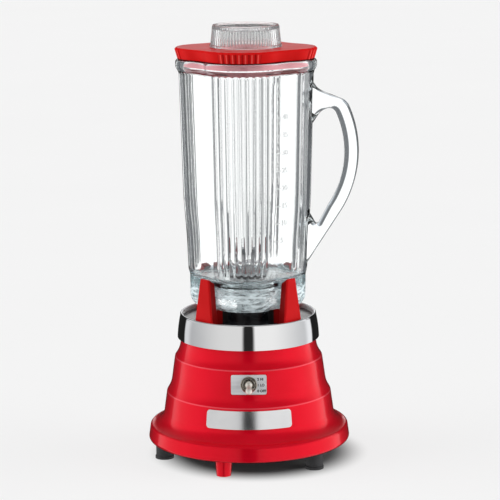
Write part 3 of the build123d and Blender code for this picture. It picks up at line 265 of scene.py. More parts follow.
def finish(name, colours, cloud, roughness, grain, stretch=(1, 1, 1), constants=None):
    """A surface whose colour and roughness drift in clouds, with a fine grain.

    The grain is its scale, its height in metres and its strength.
    """
    material = bpy.data.materials.new(name)
    material.use_nodes = True
    tree = material.node_tree
    shader = tree.nodes["Principled BSDF"]
    place = Wire(tree, tree.nodes.new("ShaderNodeTexCoord").outputs["Object"]).stretched(stretch)
    patches = place.noise(cloud).rise(*CLOUD_EDGE)
    scale, height, strength = grain
    feeds = {
        "Base Color": patches.colours(*colours),
        "Roughness": patches * (roughness[1] - roughness[0]) + roughness[0],
        "Normal": place.noise(scale, GRAIN_DETAIL).bump(strength, height),
    }
    for socket, wire in feeds.items():
        tree.links.new(wire.socket, shader.inputs[socket])
    for socket, value in (constants or {}).items():
        shader.inputs[socket].default_value = value
    return material


print("helpers ready")

# %% [markdown]
# ## The floor
# The picture's white table runs into the background without a line, and only the space beneath the base is
# dark. A wide disc with a matt surface does that: it glows up to the room's brightness, and the glow fades
# out under the base, where the real table gets no light. Only the camera sees the floor. Rays from glass,
# chrome and paint skip it and go on to the studio, which keeps the chrome's stripes unbroken and makes the
# jar whiter than the room.

# %% Floor
FLOOR_RADIUS = 14.0
FLOOR_CORNERS = 96
FLOOR_DROP = 0.0002
FLOOR_WHITE = ((0.148, 0.148, 0.148, 1), (0.152, 0.152, 0.152, 1))
FLOOR_GLOW = 0.763
UNDER_BASE = (0.064, 0.102)  # metres from the middle: where the glow starts and is full
SHADE_SHIFT = (-0.008, -0.004, 0)  # moves the shade to the right and the back

bm = bmesh.new()
bmesh.ops.create_circle(bm, cap_ends=True, segments=FLOOR_CORNERS, radius=FLOOR_RADIUS)
bmesh.ops.translate(bm, verts=bm.verts, vec=(0, 0, -FLOOR_DROP))
glow = {"Emission Strength": FLOOR_GLOW, "Specular IOR Level": 0.0}
floor_white = finish(
    "floor_white",
    colours=FLOOR_WHITE,
    cloud=3.0, roughness=(0.85, 0.95), grain=(400.0, 0.00002, 0.05), constants=glow,
)
tree = floor_white.node_tree
spot = Wire(tree, tree.nodes.new("ShaderNodeTexCoord").outputs["Object"])
spot = spot.node("ShaderNodeVectorMath", {"operation": "ADD"}, {0: spot, 1: SHADE_SHIFT})
lit = spot.length().rise(*UNDER_BASE).colours((0, 0, 0, 1), (1, 1, 1, 1))
tree.links.new(lit.socket, tree.nodes["Principled BSDF"].inputs["Emission Color"])
floor = new_piece("floor", bm, floor_white)
floor.visible_transmission = False
floor.visible_glossy = False
floor.visible_diffuse = False
print("floor radius", FLOOR_RADIUS, "m")

# %% [markdown]
# ## Soft lamps
# The red is brightest towards both sides and darkest in the middle, so most light comes from the sides, and
# a little from above on the left. Sun lamps with a wide angle are soft and have the same strength
# everywhere. They are kept out of mirror reflections, which belong to the softboxes.

# %% Lamps
LAMP_ANGLE = 60.0  # degrees across, which sets how soft a shadow is
lamps = {
    "from_left": ((-1.0, -0.1, 0.2), 3.2),
    "from_right": ((1.0, -0.1, 0.2), 3.3),
    "from_above": ((-0.4, -0.2, 1.0), 0.4),
}
for name, (towards, strength) in lamps.items():
    lamp_data = bpy.data.lights.new(name, "SUN")
    lamp_data.angle = radians(LAMP_ANGLE)
    lamp_data.energy = strength
    lamp = bpy.data.objects.new(name, lamp_data)
    lamp.rotation_euler = Vector(towards).to_track_quat("Z", "Y").to_euler()
    lamp.visible_glossy = False
    lamp.visible_transmission = False
    bpy.context.scene.collection.objects.link(lamp)
print("lamps", ", ".join(lamps))

# %% [markdown]
# ## Paint, plating and mouldings
# Enamel pools a little, chrome has faint polishing haze, rubber is dusty. Each finish is one row of a
# table. The enamel is made as a metallic paint under a thin clear coat: it is dark where it mirrors the gap
# in front and pink where it mirrors the softboxes at the sides. A plain gloss paint would be one red all
# over.

# %% Outside finishes
ENAMEL = {"Metallic": 0.6, "IOR": 1.15, "Coat Weight": 1.0, "Coat IOR": 1.22, "Coat Roughness": 0.03}
MOULDED_RED = {"IOR": 1.22, "Specular IOR Level": 0.2}
METAL = {"Metallic": 1.0}

OUTSIDE = {
    "red_enamel": dict(
        colours=((0.79, 0.002, 0.016, 1), (0.83, 0.003, 0.020, 1)),
        cloud=30.0, roughness=(0.29, 0.33), grain=(900.0, 0.00001, 0.02), constants=ENAMEL,
    ),
    "red_lid": dict(
        colours=((0.53, 0.006, 0.006, 1), (0.57, 0.008, 0.008, 1)),
        cloud=60.0, roughness=(0.29, 0.36), grain=(1500.0, 0.00002, 0.03), constants=MOULDED_RED,
    ),
    "chrome": dict(
        colours=((0.76, 0.77, 0.79, 1), (0.81, 0.82, 0.835, 1)),
        cloud=40.0, roughness=(0.03, 0.07), grain=(700.0, 0.00001, 0.03), constants=METAL,
    ),
    "nickel": dict(
        colours=((0.56, 0.50, 0.42, 1), (0.70, 0.65, 0.57, 1)),
        cloud=300.0, roughness=(0.16, 0.26), grain=(1400.0, 0.00002, 0.15), constants=METAL,
    ),
    "switch_panel": dict(
        colours=((0.72, 0.73, 0.75, 1), (0.82, 0.83, 0.85, 1)),
        cloud=500.0, roughness=(0.30, 0.42), grain=(900.0, 0.00003, 0.25),
        stretch=(0.03, 1, 1), constants={"Metallic": 0.35},
    ),
    "black_deck": dict(
        colours=((0.010, 0.010, 0.012, 1), (0.018, 0.018, 0.020, 1)),
        cloud=50.0, roughness=(0.15, 0.25), grain=(1200.0, 0.00002, 0.10),
    ),
    "rubber": dict(
        colours=((0.018, 0.018, 0.020, 1), (0.034, 0.034, 0.036, 1)),
        cloud=220.0, roughness=(0.62, 0.80), grain=(2500.0, 0.00006, 0.35),
    ),
}
finishes = {name: finish(name, **look) for name, look in OUTSIDE.items()}
print("outside finishes", ", ".join(OUTSIDE))

# %% [markdown]
# ## Finishes of the motor and the blade unit
# Steel that was turned shows grooves round its axis, laminations and windings show their layers, and
# castings are coarse. Noise that is squeezed along the upright axis makes the grooves and the layers.

# %% Inside finishes
TURNED = (1, 1, 40)  # grooves that run round an upright axis

INSIDE = {
    "steel": dict(
        colours=((0.50, 0.50, 0.52, 1), (0.62, 0.62, 0.63, 1)),
        cloud=180.0, roughness=(0.29, 0.38), grain=(900.0, 0.00003, 0.20), stretch=TURNED, constants=METAL,
    ),
    "blade_steel": dict(
        colours=((0.60, 0.60, 0.61, 1), (0.70, 0.70, 0.71, 1)),
        cloud=140.0, roughness=(0.14, 0.24), grain=(1500.0, 0.00002, 0.15),
        stretch=(8, 1, 8), constants=METAL,
    ),
    "core_steel": dict(
        colours=((0.16, 0.17, 0.19, 1), (0.27, 0.28, 0.30, 1)),
        cloud=25.0, roughness=(0.40, 0.55), grain=(70.0, 0.00012, 0.60),
        stretch=TURNED, constants={"Metallic": 0.8},
    ),
    "copper": dict(
        colours=((0.66, 0.29, 0.13, 1), (0.78, 0.40, 0.20, 1)),
        cloud=120.0, roughness=(0.25, 0.40), grain=(60.0, 0.00015, 0.60), stretch=TURNED, constants=METAL,
    ),
    "brass": dict(
        colours=((0.70, 0.50, 0.20, 1), (0.80, 0.61, 0.28, 1)),
        cloud=150.0, roughness=(0.24, 0.38), grain=(1100.0, 0.00003, 0.15), constants=METAL,
    ),
    "carbon": dict(
        colours=((0.030, 0.030, 0.032, 1), (0.060, 0.060, 0.064, 1)),
        cloud=400.0, roughness=(0.55, 0.75), grain=(2200.0, 0.00005, 0.40),
    ),
    "bracket_metal": dict(
        colours=((0.52, 0.53, 0.54, 1), (0.64, 0.65, 0.66, 1)),
        cloud=90.0, roughness=(0.42, 0.58), grain=(1300.0, 0.00008, 0.40), constants=METAL,
    ),
    "black_plastic": dict(
        colours=((0.022, 0.022, 0.024, 1), (0.036, 0.036, 0.038, 1)),
        cloud=200.0, roughness=(0.38, 0.52), grain=(1800.0, 0.00004, 0.30),
    ),
    "plate_metal": dict(
        colours=((0.045, 0.045, 0.048, 1), (0.070, 0.070, 0.074, 1)),
        cloud=70.0, roughness=(0.45, 0.60), grain=(1600.0, 0.00005, 0.35),
    ),
}
finishes.update({name: finish(name, **look) for name, look in INSIDE.items()})
print("inside finishes", ", ".join(INSIDE))

# %% [markdown]
# ## Glass
# The jar is pressed glass, thick enough to show a cool tint and slightly wavy all over. The surface shader
# bends the light, and a volume takes a little red out of it along the way, so that the tint grows with
# thickness instead of being painted on. In the picture the thick foot is pale and mottled, so it is rippled
# here and scatters some light, by a mix of the clear shader with a matt one. The cap is made as clear
# plastic, with a lower index and very little haze. The raised marks are the same glass, left matt.

# %% Glass and clear plastic
GLASS = {"Transmission Weight": 1.0, "IOR": 1.5}
CLEAR_PLASTIC = {"Transmission Weight": 1.0, "IOR": 1.46}
GLASS_TINT = (0.76, 0.92, 0.94, 1)
GLASS_DEPTH = 9.0  # how fast the tint builds up, per metre
FOOT_TOP = (0.160, 0.168)  # metres up: the thick foot below is rippled
FOOT_RIPPLE = 150.0  # ripples per metre, roughly
RIPPLE_DETAIL = 3.0
FOOT_RELIEF = 5.0  # times the waviness of the wall
FOOT_HAZE = (0.08, 0.62)  # share of the light that the rippled foot scatters
FOOT_STREAK = (1, 1, 3)  # the haze lies in level streaks
STREAK_EDGE = (0.38, 0.62)  # of the noise: from least haze to most
HAZE_TOP = (0.154, 0.161)  # metres up: the haze ends below the jar's floor
ICE = (0.86, 0.96, 0.99, 1)
CAP_HAZE = 0.03
CAP_WHITE = (0.92, 0.93, 0.93, 1)
WHITE_GLASS = ((0.985, 0.995, 0.992, 1), (1, 1, 1, 1))


def with_depth(material, tint, density):
    """Give a clear material a body that tints light by how far it goes inside."""
    tree = material.node_tree
    body = tree.nodes.new("ShaderNodeVolumeAbsorption")
    body.inputs["Color"].default_value = tint
    body.inputs["Density"].default_value = density
    tree.links.new(body.outputs["Volume"], tree.nodes["Material Output"].inputs["Volume"])
    return material


def with_haze(material, share, colour):
    """Let a share of the light scatter at a clear surface instead of passing straight through."""
    tree = material.node_tree
    clear = Wire(tree, tree.nodes["Principled BSDF"].outputs["BSDF"])
    haze = clear.node("ShaderNodeBsdfDiffuse", values={"Color": colour})
    mixed = clear.node("ShaderNodeMixShader", values={0: share, 1: clear, 2: haze})
    tree.links.new(mixed.socket, tree.nodes["Material Output"].inputs["Surface"])
    return material


pressed = finish(
    "jar_glass",
    colours=WHITE_GLASS,
    cloud=20.0, roughness=(0.0, 0.012), grain=(45.0, 0.0006, 0.12), constants=GLASS,
)
tree = pressed.node_tree
place = Wire(tree, tree.nodes["Texture Coordinate"].outputs["Object"])
in_foot = 1 - place.axis("Z").rise(*FOOT_TOP)
relief = tree.nodes["Bump"].inputs["Height"]
ripples = place.noise(FOOT_RIPPLE, RIPPLE_DETAIL) * in_foot * FOOT_RELIEF
tree.links.new((Wire(tree, relief.links[0].from_socket) + ripples).socket, relief)
streaks = place.stretched(FOOT_STREAK).noise(FOOT_RIPPLE, RIPPLE_DETAIL).rise(*STREAK_EDGE)
hazy = streaks * (FOOT_HAZE[1] - FOOT_HAZE[0]) + FOOT_HAZE[0]
with_haze(pressed, hazy * (1 - place.axis("Z").rise(*HAZE_TOP)), ICE)
finishes["jar_glass"] = with_depth(pressed, GLASS_TINT, GLASS_DEPTH)
clear_cap = finish(
    "clear_cap",
    colours=WHITE_GLASS,
    cloud=60.0, roughness=(0.03, 0.06), grain=(120.0, 0.0002, 0.08), constants=CLEAR_PLASTIC,
)
finishes["clear_cap"] = with_haze(clear_cap, CAP_HAZE, CAP_WHITE)
matt_glass = finish(
    "matt_glass",
    colours=WHITE_GLASS,
    cloud=300.0, roughness=(0.12, 0.22), grain=(900.0, 0.00005, 0.3), constants=GLASS,
)
print("clear finishes jar_glass, clear_cap, matt_glass")

# %% [markdown]
# ## Finishes onto the pieces
# The record names a finish for every piece, so one loop dresses them all. The frame's meshes carry their
# own smooth normals and keep their shape. Only the finish in their first slot changes.

# %% Dress the pieces
for subpart in frame["record"]["subparts"]:
    mesh = nodes[subpart["node"]].data
    mesh.materials.clear()
    mesh.materials.append(finishes[subpart["material_slot"]])

# %% [markdown]
# ## The plate and the lever
# The curved plate is plated like the ring, but brushed, so the stripe in it has soft edges. The lever is
# nickel like its nut, but paler and more matt. Changing the shared finishes would change the ring and the
# nut too, so these two pieces get finishes of their own.

# %% Brushed plate and pale lever
plate_chrome = finish(
    "plate_chrome",
    colours=((0.86, 0.86, 0.87, 1), (0.92, 0.92, 0.92, 1)),
    cloud=60.0, roughness=(0.17, 0.23), grain=(700.0, 0.00001, 0.03), constants=METAL,
)
nodes["badge"].data.materials[0] = plate_chrome
lever_nickel = finish(
    "lever_nickel",
    colours=((0.84, 0.80, 0.72, 1), (0.93, 0.90, 0.84, 1)),
    cloud=300.0, roughness=(0.32, 0.44), grain=(1400.0, 0.00002, 0.15), constants={"Metallic": 0.75},
)
nodes["toggle_lever"].data.materials[0] = lever_nickel
print("brushed plate on badge, paler nickel on toggle_lever")

# %% [markdown]
# ## The ring
# The ring's outside is polished. Its bore shows white in the picture, so it is made pale and matt, and the
# distance from the drive axis tells the two apart. A second mask, by the distance to the left or right,
# paints the softboxes' reflection into the plating's colour: bright at front and back, darker towards its
# sides.

# %% Ring
RING_BORE = (0.0588, 0.0592)  # metres from the axis: matt up to here, polished from here on
REFLECTION_FADE_SIDE = (0.018, 0.056)  # metres left or right: from the painted bright reflection to the painted darker sides
SIDE_CHROME_PAINTED_DIM = ((0.60, 0.61, 0.63, 1), (0.64, 0.65, 0.67, 1))
FRONT_PAINTED_REFLECTION = (0.99, 0.99, 0.99, 1)
BORE_ROUGH = 0.55
BORE_WHITE = (0.98, 0.98, 0.98, 1)


def tint_by(material, mask_of, low):
    """Replace a material's colour by low where the mask that is made of the object's coordinates is 0."""
    tree = material.node_tree
    colour = tree.nodes["Principled BSDF"].inputs["Base Color"]
    painted = Wire(tree, colour.links[0].from_socket)
    mask = mask_of(Wire(tree, tree.nodes["Texture Coordinate"].outputs["Object"]))
    tree.links.new(mask.colours(low, painted).socket, colour)


def plated(place):
    """1 on the ring's polished outside, 0 in its bore."""
    return place.from_axis().rise(*RING_BORE)


def painted_reflection_mask(place):
    """0 in the middle of the ring's front and back, where the painted reflection is brightest, 1 towards its
    sides.
    """
    return abs(place.axis("X")).rise(*REFLECTION_FADE_SIDE)


ring_chrome = finish(
    "ring_chrome",
    colours=SIDE_CHROME_PAINTED_DIM,
    cloud=40.0, roughness=(0.03, 0.07), grain=(700.0, 0.00001, 0.03), constants=METAL,
)
# Painted reflection: the plating's colour is brighter at front and back and darker at the sides.
tint_by(ring_chrome, painted_reflection_mask, FRONT_PAINTED_REFLECTION)
tint_by(ring_chrome, plated, BORE_WHITE)
tree = ring_chrome.node_tree
polish = plated(Wire(tree, tree.nodes["Texture Coordinate"].outputs["Object"]))
shader = tree.nodes["Principled BSDF"]
smooth = Wire(tree, shader.inputs["Roughness"].links[0].from_socket)
tree.links.new((smooth * polish + (1 - polish) * BORE_ROUGH).socket, shader.inputs["Roughness"])
tree.links.new(polish.socket, shader.inputs["Metallic"])
nodes["trim_ring"].data.materials[0] = ring_chrome
print("ring matt inside", RING_BORE[0], "m")

# %% [markdown]
# ## The tiers' edges
# In the picture the top edge of each tier shows as a fine pale line, a highlight on a tight round. The
# studio's light alone doesn't draw it here, so it is a painted highlight, placed by the height above the
# counter.

# %% Tier edges
TIER_EDGES = (0.0593, 0.0912)  # metres up
EDGE_LINE = (0.0002, 0.0008)  # metres from the edge: from full to gone
PAINTED_EDGE_HIGHLIGHT = (0.92, 0.08, 0.11, 1)


def off_edge_highlights(place):
    """0 on the painted highlight along the tiers' top edges, 1 elsewhere."""
    lower, upper = (abs(place.axis("Z") - edge).rise(*EDGE_LINE) for edge in TIER_EDGES)
    return lower * upper


# A painted highlight along each tier's top edge.
tint_by(finishes["red_enamel"], off_edge_highlights, PAINTED_EDGE_HIGHLIGHT)
print("pale edges at", TIER_EDGES, "m")

# %% [markdown]
# ## The lid's ribs
# The lid's edge has a group of upright ribs on each lobe. They are part of the frame's shape already. Their
# crests get a painted highlight and their grooves a painted shade, which one red over the whole lid would
# not show, and a cosine of the angle about the drive axis finds crests and grooves. The top face stays
# plain.

# %% Lid ribs
JAR_TURN = -5.5  # degrees, how the jar and its lid stand in the cradle
FULL_TURN = 360.0
LOBE_TURN = 90.0  # degrees from one lobe to the next
RIBS = 7
RIB_ARC = 18.0  # degrees each side of a lobe's middle
RIB_END = (RIB_ARC, RIB_ARC + 1)
RIB_TOP = (0.3650, 0.3660)  # metres up: the top face above is plain
RIB_CREST = (0.55, 0.95)  # of the cosine wave
RIB_GROOVE = (0.2, 1.0)  # of the same wave, upside down
CREST_PAINTED_HIGHLIGHT = (0.74, 0.07, 0.06, 1)
GROOVE_PAINTED_SHADE = (0.36, 0.003, 0.003, 1)


def rib_wave(place):
    """1 on the crests of the ribs, -1 in their grooves, by the angle about the drive axis."""
    angle = place.math("ARCTAN2", place.axis("Y"), place.axis("X")) * degrees(1)
    from_first = angle + (FULL_TURN + LOBE_TURN / 2 - JAR_TURN)
    off = place.math("MODULO", from_first, LOBE_TURN) - LOBE_TURN / 2
    wave = place.math("COSINE", off * (pi * RIBS / RIB_ARC))
    on_edge = 1 - place.axis("Z").rise(*RIB_TOP)
    return wave * on_edge * (1 - abs(off).rise(*RIB_END))


def off_crest_highlight(place):
    """0 on the painted highlight along the ribs' crests, 1 elsewhere."""
    return 1 - rib_wave(place).rise(*RIB_CREST)


def off_groove_shade(place):
    """0 on the painted shade in the grooves between ribs, 1 elsewhere."""
    return 1 - (0.0 - rib_wave(place)).rise(*RIB_GROOVE)


# Painted shade in the grooves and a painted highlight on the crests.
tint_by(finishes["red_lid"], off_groove_shade, GROOVE_PAINTED_SHADE)
tint_by(finishes["red_lid"], off_crest_highlight, CREST_PAINTED_HIGHLIGHT)
print(RIBS, "ribs on each lobe of the lid")

# %% [markdown]
# ## The lid's plug
# Below its flange the lid has a short plug that closes the jar. Its colour is painted paler, a painted
# reflection of the rim's glass in front of it, and the bore under the cap is painted paler too. A painted
# shadow lies as a dark line between flange and glass. Height and distance from the axis decide between these
# reds on the one piece.

# %% Lid plug
PLUG_TOP = (0.3558, 0.3564)  # metres up: paler below this
PLUG_PAINTED_REFLECTION = (0.86, 0.36, 0.40, 1)
SEAM_SHADOW_TOP = (0.3572, 0.3580)  # metres up: painted shadow below this, down to the plug
PAINTED_SEAM_SHADOW = (0.05, 0.002, 0.002, 1)
BORE_EDGE = (0.0266, 0.0270)  # metres from the axis: paler inside this
BORE_PAINTED_PALE = (0.82, 0.22, 0.24, 1)


def above_seam_shadow(place):
    """1 on the lid's top and edge, 0 on the painted shadow at the seam and below it."""
    return place.axis("Z").rise(*SEAM_SHADOW_TOP)


def above_plug(place):
    """0 on the lid's plug, 1 above it."""
    return place.axis("Z").rise(*PLUG_TOP)


def outside_bore(place):
    """0 in the bore under the cap, 1 elsewhere."""
    return place.from_axis().rise(*BORE_EDGE)


# A painted shadow at the seam, a painted reflection on the plug, and a paler bore.
tint_by(finishes["red_lid"], above_seam_shadow, PAINTED_SEAM_SHADOW)
tint_by(finishes["red_lid"], above_plug, PLUG_PAINTED_REFLECTION)
tint_by(finishes["red_lid"], outside_bore, BORE_PAINTED_PALE)
print("paler plug below", PLUG_TOP[0], "m")

# %% [markdown]
# ## The cradle
# The cradle is red like the base but has no clear coat. Its arms under the jar are painted black, as painted
# shade. In the picture the posts' flanks are a deeper red than their outer faces, and what the glass shows
# of their inner faces is grey; both are painted here, as painted shade. All of this is one piece, so the
# distance from the drive axis, or along the diagonals, decides between the colours.

# %% Cradle paint
ARM_END = (0.0372, 0.0384)  # metres from the axis: painted black shade up to here, red from here on
ARM_PAINTED_SHADE = (0.012, 0.010, 0.010, 1)
DIAGONAL = sqrt(0.5)  # the posts stand on the diagonals
POST_LEAN = 2.4 / 44.5  # the outer faces lean in by this much per height
POST_FACE = (0.0602, 0.0628)  # metres: flanks up to here, the outer face from here on
FLANK_PAINTED_SHADE = (0.20, 0.003, 0.003, 1)
POST_INSIDE = (0.0467, 0.0475)  # metres: painted grey shade on the inner faces up to here
ABOVE_ARMS = (0.1392, 0.1400)  # metres up
INSIDE_PAINTED_SHADE = (0.10, 0.10, 0.11, 1)

cradle_red = finish(
    "cradle_red",
    colours=((0.48, 0.005, 0.006, 1), (0.52, 0.006, 0.008, 1)),
    cloud=30.0, roughness=(0.30, 0.36), grain=(900.0, 0.00001, 0.02),
    constants={"Metallic": 0.35, "IOR": 1.2},
)


def along_posts(place):
    """Distance from the axis, measured along the posts' directions."""
    return (abs(place.axis("X")) + abs(place.axis("Y"))) * DIAGONAL


def on_face(place):
    """1 on the posts' outer faces, which lean inwards towards their tops, 0 on their flanks."""
    return (along_posts(place) + place.axis("Z") * POST_LEAN).rise(*POST_FACE)


def off_inside(place):
    """0 on the posts' inner faces, 1 elsewhere."""
    return 1 - (1 - along_posts(place).rise(*POST_INSIDE)) * place.axis("Z").rise(*ABOVE_ARMS)


def off_arms(place):
    """0 on the arms under the jar, 1 further out."""
    return place.from_axis().rise(*ARM_END)


# Painted shade on the flanks, the inner faces and the arms under the jar.
tint_by(cradle_red, on_face, FLANK_PAINTED_SHADE)
tint_by(cradle_red, off_inside, INSIDE_PAINTED_SHADE)
tint_by(cradle_red, off_arms, ARM_PAINTED_SHADE)
nodes["jar_cradle"].data.materials[0] = cradle_red
print("cradle paint from", ARM_END[1], "m out")

# %% [markdown]
# ## The clover section
# Seen from above, the jar is a clover of four lobes joined by shallow valleys, all of them arcs that meet
# smoothly. The lobes have narrow upright flutes: round ribs with sharp grooves between them. At the handle
# a panel stays plain, with a few flutes at each side of it. Both shapes are written as a distance from the
# axis at an angle, so that one ring of points can be moved onto any section.

# %% Sections
VALLEY_DEPTH = 7.0
VALLEY_ROUND = 60.0  # radius of the valleys
FLUTE_TURN = 6.0  # degrees
FLUTE_ARC = 27.0  # degrees each side of a lobe's middle
FLUTE_DEPTH = 0.7
HANDLE_PANEL = 21.0  # degrees each side of the handle that stay plain
HANDLE_FLUTES = 33.0  # degrees from the handle where the flutes beside it end
QUARTER = pi / 2
TRIAL_LOBE = 53.0


def from_lobe(angle):
    """Angle from the middle of the nearest lobe."""
    return (angle + QUARTER / 2) % QUARTER - QUARTER / 2


def disc(radius):
    """A round section."""
    return lambda angle: radius


def clover(lobe):
    """Four lobes that reach to the given distance, in millimetres."""
    # A lobe's circle and a valley's circle touch, so their middles are the sum of both radii apart.
    centre = lobe - VALLEY_DEPTH + VALLEY_ROUND
    over = lobe**2 + centre**2 - sqrt(2) * lobe * centre - VALLEY_ROUND**2
    corner = over / (2 * lobe + 2 * VALLEY_ROUND - sqrt(2) * centre)
    middle = lobe - corner
    share = corner / (corner + VALLEY_ROUND)
    across = centre / sqrt(2)
    meet = atan2(share * across, middle * (1 - share) + share * across)

    def reach(angle):
        off = abs(from_lobe(angle))
        if off < meet:
            return middle * cos(off) + sqrt(corner**2 - (middle * sin(off)) ** 2)
        away = QUARTER / 2 - off
        return centre * cos(away) - sqrt(VALLEY_ROUND**2 - (centre * sin(away)) ** 2)

    return reach


def fluted_clover(lobe):
    """A clover with round ribs on its lobes and a plain panel at the handle."""
    plain = clover(lobe)

    def reach(angle):
        off = degrees(from_lobe(angle))
        at_handle = cos(angle) > cos(QUARTER / 2)
        first, last = (HANDLE_PANEL, HANDLE_FLUTES) if at_handle else (0, FLUTE_ARC)
        if not first <= abs(off) <= last:
            return plain(angle)
        rib = abs(cos(pi * (off / FLUTE_TURN + 0.5)))
        return plain(angle) - FLUTE_DEPTH * (1 - rib)

    return reach


valley = clover(TRIAL_LOBE)(QUARTER / 2)
print("a clover of", TRIAL_LOBE, "mm reaches", round(valley, 2), "mm in its valleys")

# %% [markdown]
# ## The jar's wall
# A turned glass would be one profile and a spin. This jar changes section all the way up, so a circle of
# points is extruded from ring to ring instead: up the outside, over the rim, down the inside, across the
# floor, through the bore for the blade unit and out over the round well. The last ring joins the first,
# which closes the glass. Then the rings that are corners are bevelled, each by its own radius.

# %% Rings
def heights(name):
    """Lowest and highest point of one of the frame's pieces, in millimetres."""
    levels = [round(corner[2] / MM, 3) for corner in nodes[name].bound_box]
    return min(levels), max(levels)


SEAT, JAR_TOP = heights("glass_jar")
JAR_POINTS = 720
ROUND_STEPS = 4
WAIST = (61.0, 54.0)  # height above the seat, reach of the lobes outside
BELLY = (93.0, 56.5)
SHOULDER = (204.5, 59.3)
RIM_REACH = 62.2
MOUTH_REACH = 55.9
JAR_FLOOR = 24.0  # height above the seat
WELL_ROOF = 17.0
BLADE_BORE = 10.0


def onto_section(vertices, height, reach, turn):
    """Move a ring of vertices, each along its own direction, onto a section at a height."""
    for vertex in vertices:
        along = atan2(vertex.co.y, vertex.co.x)
        out = reach(along - radians(turn)) * MM
        vertex.co = (out * cos(along), out * sin(along), height * MM)


def stack(bm, points, sections, turn=0.0):
    """Extrude a circle from section to section. Gives the edges of each ring."""
    start = bmesh.ops.create_circle(bm, segments=points, radius=1.0)
    onto_section(start["verts"], *sections[0][:2], turn)
    rings = [bm.edges[:]]
    for height, reach, _ in sections[1:]:
        made = bmesh.ops.extrude_edge_only(bm, edges=rings[-1])["geom"]
        fresh = {item for item in made if isinstance(item, bmesh.types.BMVert)}
        onto_section(fresh, height, reach, turn)
        edges = [item for item in made if isinstance(item, bmesh.types.BMEdge)]
        rings.append([edge for edge in edges if fresh.issuperset(edge.verts)])
    return rings


def soften(bm, geom, radius, segments, affect="EDGES"):
    """Bevel edges, or corners of a flat outline, by a radius in millimetres."""
    bmesh.ops.bevel(
        bm, geom=geom, offset=radius * MM, segments=segments, profile=0.5, affect=affect, material=-1
    )


def round_rings(bm, rings, sections, segments):
    """Soften each ring by the radius that its section gives."""
    for ring, (_, _, radius) in zip(rings, sections):
        if radius:
            soften(bm, ring, radius, segments)


# Each section: height above the counter, shape, rounding of its corner
jar_sections = [
    (SEAT, clover(48.0), 0.8),
    (SEAT + 5.5, clover(51.3), 1.5),
    (SEAT + 27.0, clover(51.6), 1.2),
    (SEAT + 31.0, clover(52.9), 1.2),
    (SEAT + 38.0, fluted_clover(53.2), 0),
    (SEAT + WAIST[0], fluted_clover(WAIST[1]), 8.0),
    (SEAT + BELLY[0], fluted_clover(BELLY[1]), 8.0),
    (SEAT + SHOULDER[0], fluted_clover(SHOULDER[1]), 0),
    (SEAT + 208.0, clover(60.2), 0.8),
    (SEAT + 210.8, clover(RIM_REACH), 1.6),
    (JAR_TOP, clover(RIM_REACH), 2.4),
    (JAR_TOP, clover(MOUTH_REACH), 2.4),
    (SEAT + 204.0, clover(MOUTH_REACH), 6.0),
    (SEAT + BELLY[0], clover(52.9), 8.0),
    (SEAT + WAIST[0], clover(50.4), 8.0),
    (SEAT + JAR_FLOOR, clover(49.3), 8.5),
    (SEAT + JAR_FLOOR, disc(BLADE_BORE), 0.4),
    (SEAT + WELL_ROOF, disc(BLADE_BORE), 0.4),
    (SEAT + WELL_ROOF, disc(34.2), 1.0),
    (SEAT, disc(36.0), 0.6),
]
wall_bm = bmesh.new()
rings = stack(wall_bm, JAR_POINTS, jar_sections, JAR_TURN)
bmesh.ops.bridge_loops(wall_bm, edges=rings[0] + rings[-1])
round_rings(wall_bm, rings, jar_sections, ROUND_STEPS)
bmesh.ops.recalc_face_normals(wall_bm, faces=wall_bm.faces)
open_edges = sum(edge.is_boundary for edge in wall_bm.edges)
print("jar wall from", SEAT, "to", JAR_TOP, "mm,", len(wall_bm.faces), "faces,", open_edges, "open edges")

# %% [markdown]
# ## The handle
# The handle is a flat strap of glass, wide at both roots. Its side view is a flat outline: straight runs,
# and one long arc outside with another inside it. Spinning one vertex about the arc's middle draws each
# arc, which needs no list of points. Both ends stop in the middle of the jar's wall.

# %% Handle outline
HANDLE_W = 15.0
HANDLE_T = 12.5
ARC_TOP = Vector((88.0, 180.5))  # distance from the axis, height above the seat
ARC_MIDDLE = Vector((98.55, 134.0))
ARC_FOOT = Vector((82.0, 82.0))
ARC_STEPS = 40
SOFT_STEPS = 6
CORNER_GAP = 0.07  # radians of arc left for the rounded top corner


def circle_middle(first, second, third):
    """Middle of the circle through three points."""
    a = second - first
    b = third - first
    twice = 2 * (a.x * b.y - a.y * b.x)
    x = (b.y * a.length_squared - a.y * b.length_squared) / twice
    y = (a.x * b.length_squared - b.x * a.length_squared) / twice
    return first + Vector((x, y))


def side_point(bm, point):
    """A vertex on the strap's near side."""
    return bm.verts.new((point[0] * MM, -HANDLE_W / 2 * MM, (SEAT + point[1]) * MM))


def arc(bm, middle, start, sweep):
    """The start vertex and those that a spin about the middle draws, in order."""
    centre = (middle.x * MM, 0, (SEAT + middle.y) * MM)
    chain = [side_point(bm, start)]
    before = len(bm.verts)
    bmesh.ops.spin(bm, geom=chain, cent=centre, axis=(0, 1, 0), angle=sweep, steps=ARC_STEPS)
    bm.verts.ensure_lookup_table()
    return chain + bm.verts[before:]


handle_bm = bmesh.new()
middle = circle_middle(ARC_TOP, ARC_MIDDLE, ARC_FOOT)
top_ray = ARC_TOP - middle
foot_ray = ARC_FOOT - middle
sweep = atan2(top_ray.y, top_ray.x) - atan2(foot_ray.y, foot_ray.x) - CORNER_GAP
inside = (top_ray.length - HANDLE_T) / top_ray.length
late_ray = Matrix.Rotation(-CORNER_GAP, 2) @ top_ray

